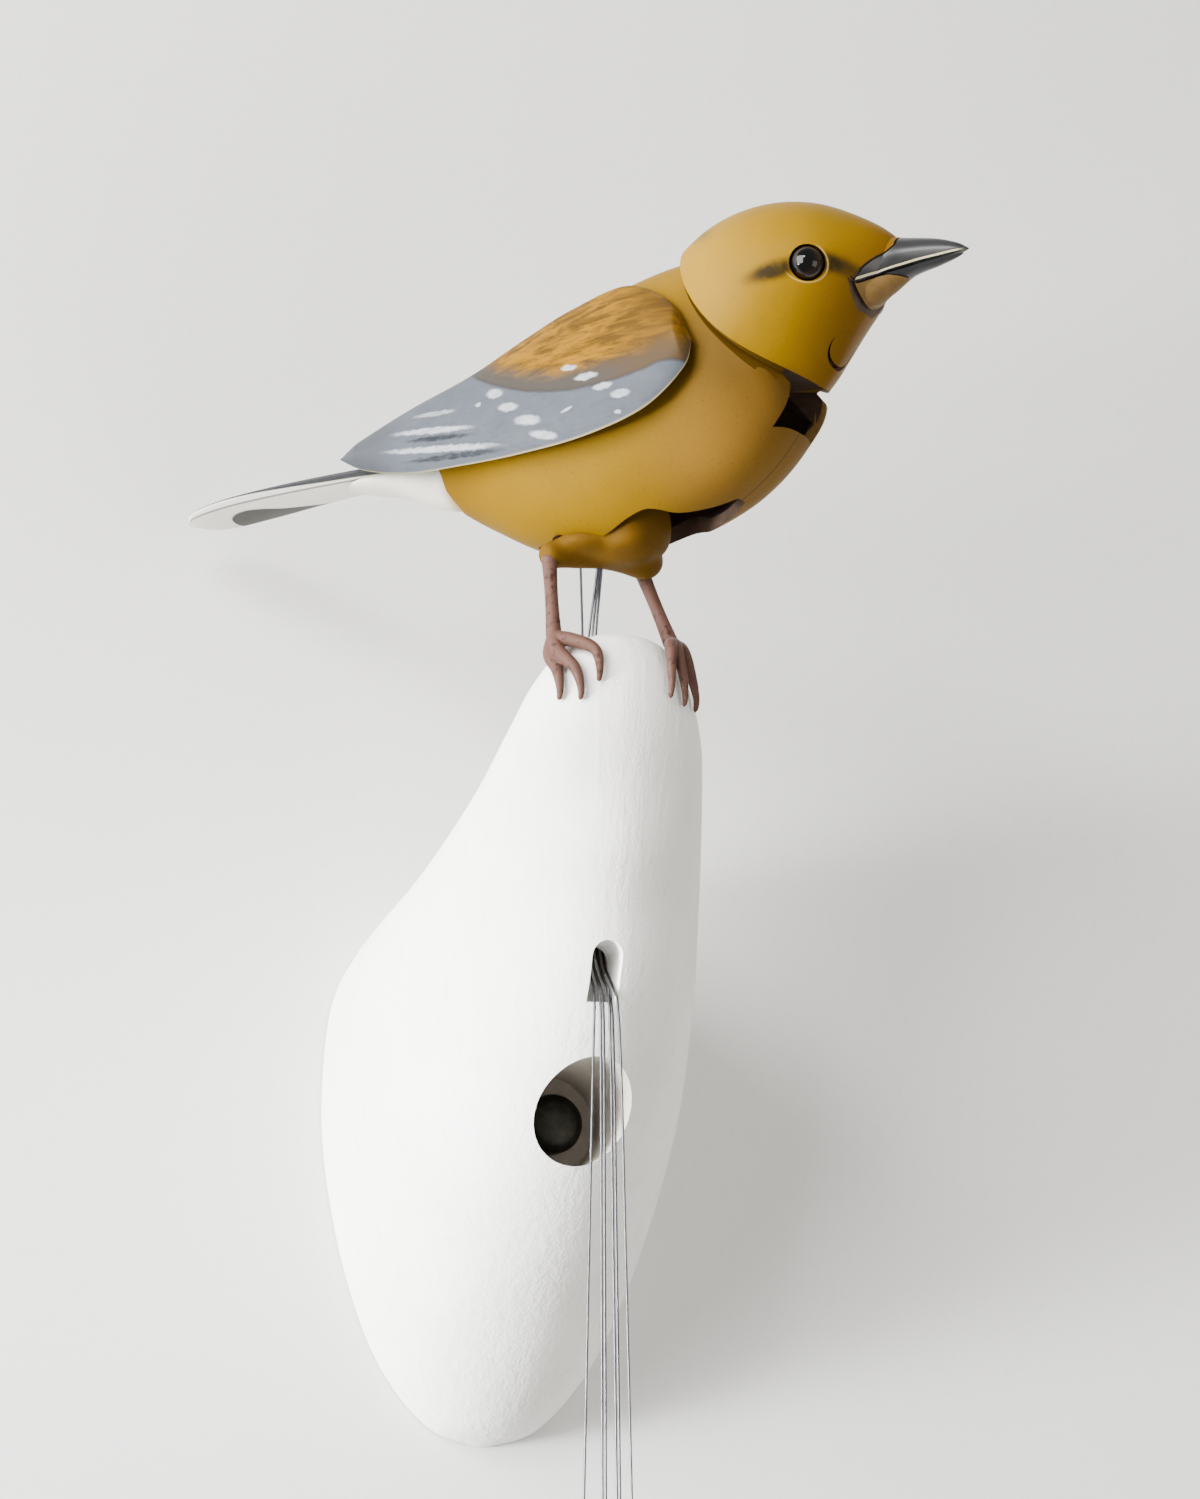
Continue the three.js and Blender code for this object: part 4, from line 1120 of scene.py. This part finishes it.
mantleTone = node("mix", mantleEdge, "#3C3834", mantleTone)
mantleTone = node("mix", node("ramp", wx, 2, 15, 0, 0.6), mantleTone, "#4A3410")
mantleMask = node("ramp", overLine, 0.3, 0.75)
tone = node("mix", mantleMask, greyTone, mantleTone)
darkLine = node("times", node("ramp", overLine, 0.1, 0.4), node("ramp", overLine, 0.55, 1.1, 1, 0))
tone = node("mix", node("times", darkLine, 0.6), tone, "#2E2A28")
dabs = (
    ((-1, 103.3), (1.7, 0.7), -3),
    ((2.4, 101.2), (2.3, 0.8), 1),
    ((-15.4, 101.7), (1.9, 1.1), -14),
    ((-12.1, 98.7), (2.2, 1.0), -9),
    ((-8.1, 95.8), (2.8, 1.1), -10),
    ((-5, 92.9), (2.9, 0.9), -15),
    ((5.7, 99.1), (1.9, 0.8), 2),
    ((8.8, 97.5), (1.8, 0.9), 2),
    ((-0.7, 96.2), (1.2, 0.3), 20),
    ((-18.5, 100.4), (0.7, 0.5), 0),
    ((8.3, 94.6), (0.7, 0.4), 0),
)
warpedWing = node("warp", node("colours", space, 0.9, 3.0), (0.7, 0, 0.7), space)
for centre, halves, tilt in dabs:
    dabHalves = (halves[0] * 0.85, halves[1] * 0.72)
    dab = daub(warpedWing, (centre[0] + 0.35, centre[1] + 0.35), dabHalves, tilt, 0.3)
    dab = node("times", dab, node("ramp", fineStrokes, 0.3, 0.6, 0.55, 0.9))
    tone = node("mix", dab, tone, "#A6ABB3")
# pale stripes; each dark one is a painted shadow under the pale stripe above it
streaksAndShadowLines = (
    ((-31.5, 101), (-23.6, 100.4), 0.45, "#8E9299"),
    ((-34.3, 98.3), (-19.9, 96.8), 0.5, "#A4A8AF"),
    # painted shadow
    ((-31.6, 96.5), (-19.2, 95.5), 0.45, "#1E2026"),
    ((-34.9, 95.3), (-14.6, 92.9), 0.5, "#A4A8AF"),
    # painted shadow
    ((-31.5, 93.2), (-13.4, 91.9), 0.45, "#1E2026"),
)
for first, second, halfTall, colour in streaksAndShadowLines:
    middle = ((first[0] + second[0]) / 2 + 0.35, (first[1] + second[1]) / 2 + 0.35)
    run = math.hypot(second[0] - first[0], second[1] - first[1]) / 2
    tilt = math.degrees(math.atan2(second[1] - first[1], second[0] - first[0]))
    streakAndShadowMark = daub(warpedWing, middle, (run, halfTall), tilt, 0.35)
    streakAndShadowMark = node("times", streakAndShadowMark, node("ramp", fineStrokes, 0.3, 0.6, 0.5, 0.9))
    tone = node("mix", streakAndShadowMark, tone, colour)
mapTurn = node("axes", node("formMap"))[1]
rimNear = node("ramp", node("unsigned", node("minus", mapTurn, 0.5)), 0.015, 0.045, 0.85, 0)
tone = node("mix", rimNear, tone, "#A89A78")
finished(shader, tone, node("plus", strokes, fineStrokes), 0.22, 0.12)

wingNear = smoothed(coat(loft("nearWing", wingRing, 128, 120), wingPaint), 60)
wingFar = mirroredBird(wingNear, "farWing")
dress(wingNear, "wing_near", ["wing_near"])
dress(wingFar, "wing_far", ["wing_far"])
print("wings made")

# Tail
tailSet = {
    "x": (-27, -29, -40, -54, -67, -75, -79),
    "z": (94.4, 94.6, 94.9, 94, 92.6, 91.4, 90.9),
    "halfWidth": (0, 3.2, 4.8, 6.2, 6.9, 5.4, 0),
    "halfThickness": (0, 1.1, 1.1, 1, 0.9, 0.8, 0),
}


def tailRing(row, angle):
    t = easedEnds(row)
    inside = 0 < row < 1
    x, z, across, thick = (rowValue(tailSet[key], t) for key in ("x", "z", "halfWidth", "halfThickness"))
    across, thick = (max(0.0, across), max(0.0, thick)) if inside else (0, 0)
    return x, math.cos(angle) * across, z + math.sin(angle) * thick


# grey on top, white edges with painted shadow lines beside them, off-white below
tailPaint, shader, space = newFinish("paintedTailFeathers", {"Roughness": 0.5, "Specular IOR Level": 0.15})
tx = node("axes", space)[0]
vane = node("noise", node("place", space, Scale=(0.12, 1, 1)), 1 / 0.7, 4)
normalZ = node("axes", node("normal"))[2]
topTone = node("mix", vane, "#2E2F33", "#3E3F43")
lowTone = node("mix", vane, "#D8D6CC", "#ECEBE4")
tone = node("mix", node("ramp", normalZ, -0.1, 0.35), lowTone, topTone)
tailTurn = node("axes", node("formMap"))[1]
lineX = -79, -74.5, -67.8, -56, -48, -30
upperLine = lineHeight(tx, list(zip(lineX, (0.485, 0.495, 0.505, 0.556, 0.585, 0.6))))
lowerLine = lineHeight(tx, list(zip(lineX, (0.58, 0.6, 0.615, 0.63, 0.635, 0.64))))
spotEdge = [(-72, 0.95), (-70.4, 0.73), (-67.8, 0.7), (-65, 0.72), (-62.3, 0.77), (-58, 0.84), (-54, 0.95)]
spotLine = lineHeight(tx, spotEdge)
belowUpper = node("minus", tailTurn, upperLine)
belowLower = node("minus", tailTurn, lowerLine)
ridge = node("times", node("ramp", belowUpper, 0.008, 0.02), node("ramp", belowLower, -0.02, -0.006, 1, 0))
spot = node("ramp", node("minus", tailTurn, spotLine), -0.004, 0.012)
for limit in (
    node("ramp", tailTurn, 0.96, 0.98, 1, 0),
    node("ramp", tx, -72.2, -71.6),
    node("ramp", tx, -56, -54.5, 1, 0),
):
    spot = node("times", spot, limit)
tone = layered(
    tone,
    (node("ramp", belowUpper, -0.004, 0.006, 1, 0), topTone),
    (ridge, "#F4F4F0"),
    # painted shadow lines along both borders of the white edge
    (node("ramp", node("unsigned", belowUpper), 0.0048, 0.012, 0.8, 0), "#2E2D2A"),
    (node("ramp", node("unsigned", belowLower), 0.0056, 0.014, 0.75, 0), "#2E2D2A"),
    (spot, "#33322E"),
)
finished(shader, tone, vane, 0.2, 0.12)
tail = smoothed(coat(loft("tailBlade", tailRing, 96, 90), tailPaint), 60)
dress(tail, "tail", ["tail"])

# off-white, ochre where it meets the rump
covertPaint, shader, space = newFinish("creamUndertailPaint", {"Roughness": 0.55})
covertX = node("axes", space)[0]
tone = node("mix", node("noise", space, 1 / 3, 4), "#D2D0C2", "#E3E1D6")
finished(shader, node("mix", node("ramp", covertX, -30.5, -28, 0, 0.85), tone, "#96702C"))
coverts = coat(rowForm("undertailCoverts", covertRows, 72, 60), covertPaint)


def tailGap(row, angle):
    x, y, z = tailRing(row, angle)
    rise = math.sin(angle)
    return x, y + math.copysign(0.34, y) if y else y, z + (6 * rise if rise > 0 else 0.34 * rise)


carve(coverts, [coat(loft("tailGap", tailGap, 64, 60), covertPaint)])
smoothed(coverts, 60)
dress(coverts, "tail", ["tail_coverts"])
print("tail made")

# Wall and light
# flat pale grey with a faint paper tooth
wallPaint, shader, space = newFinish("paleGreyStudioWall", {"Roughness": 0.9}, wallSpace)
tone = node("mix", node("noise", space, 1 / 60, 2), "#E8E9EA", "#EEEFEF")
tooth = node("ramp", node("noise", space, 1 / 1.6, 3), 0.56, 0.72, 0, 0.25)
finished(shader, node("mix", tooth, tone, "#DFE0E1"))
shown = node("eitherShader", node("behind"), shader.outputs[0], node("clear"))
plug(shown, wallPaint.node_tree.nodes["Material Output"].inputs["Surface"])
wallSpan, wallGap = 3.0, 0.0004  # metres
corners = [(x * wallSpan, wallGap, z * wallSpan) for x, z in ((-1, -1), (1, -1), (1, 1), (-1, 1))]
wall = coat(newPiece("studioWall", corners, [(0, 1, 2, 3)]), wallPaint)


lightSet = {  # place, aim and size in metres, power in watts, colour, spread in degrees
    "windowLight": ((-0.6, -0.31, 0.22), (0, -0.05, 0.03), (0.55, 0.6), 19, "#FFFCF6", 180),
    "sillLight": ((-0.5, -0.13, -0.08), (-0.02, -0.05, -0.045), (0.1, 0.12), 0.55, "#FFFFFF", 34),
    "bounceLight": ((0.5, -0.75, -0.12), (0, -0.06, 0.08), (0.5, 0.5), 2.6, "#FFF8EC", 180),
    "paneLight": ((-0.42, -0.62, 0.48), (0, -0.06, 0.08), (0.09, 0.13), 2.2, "#FFFFFF", 180),
}
for name, (place, aim, size, power, colour, spread) in lightSet.items():
    lamp = bpy.data.lights.new(name, "AREA")
    lamp.shape = "RECTANGLE"
    lamp.size, lamp.size_y = size
    lamp.energy = power
    lamp.color = linear(colour)[:3]
    lamp.spread = math.radians(spread)
    holder = bpy.data.objects.new(name, lamp)
    holder.location = place
    holder.rotation_euler = (Vector(aim) - Vector(place)).to_track_quat("-Z", "Y").to_euler()
    bpy.context.collection.objects.link(holder)
world = bpy.data.worlds.new("paleRoom")
world.use_nodes = True
world.node_tree.nodes["Background"].inputs["Color"].default_value = linear("#E8E6E0")
world.node_tree.nodes["Background"].inputs["Strength"].default_value = 0.68
bpy.context.scene.world = world
print("wall and light set")
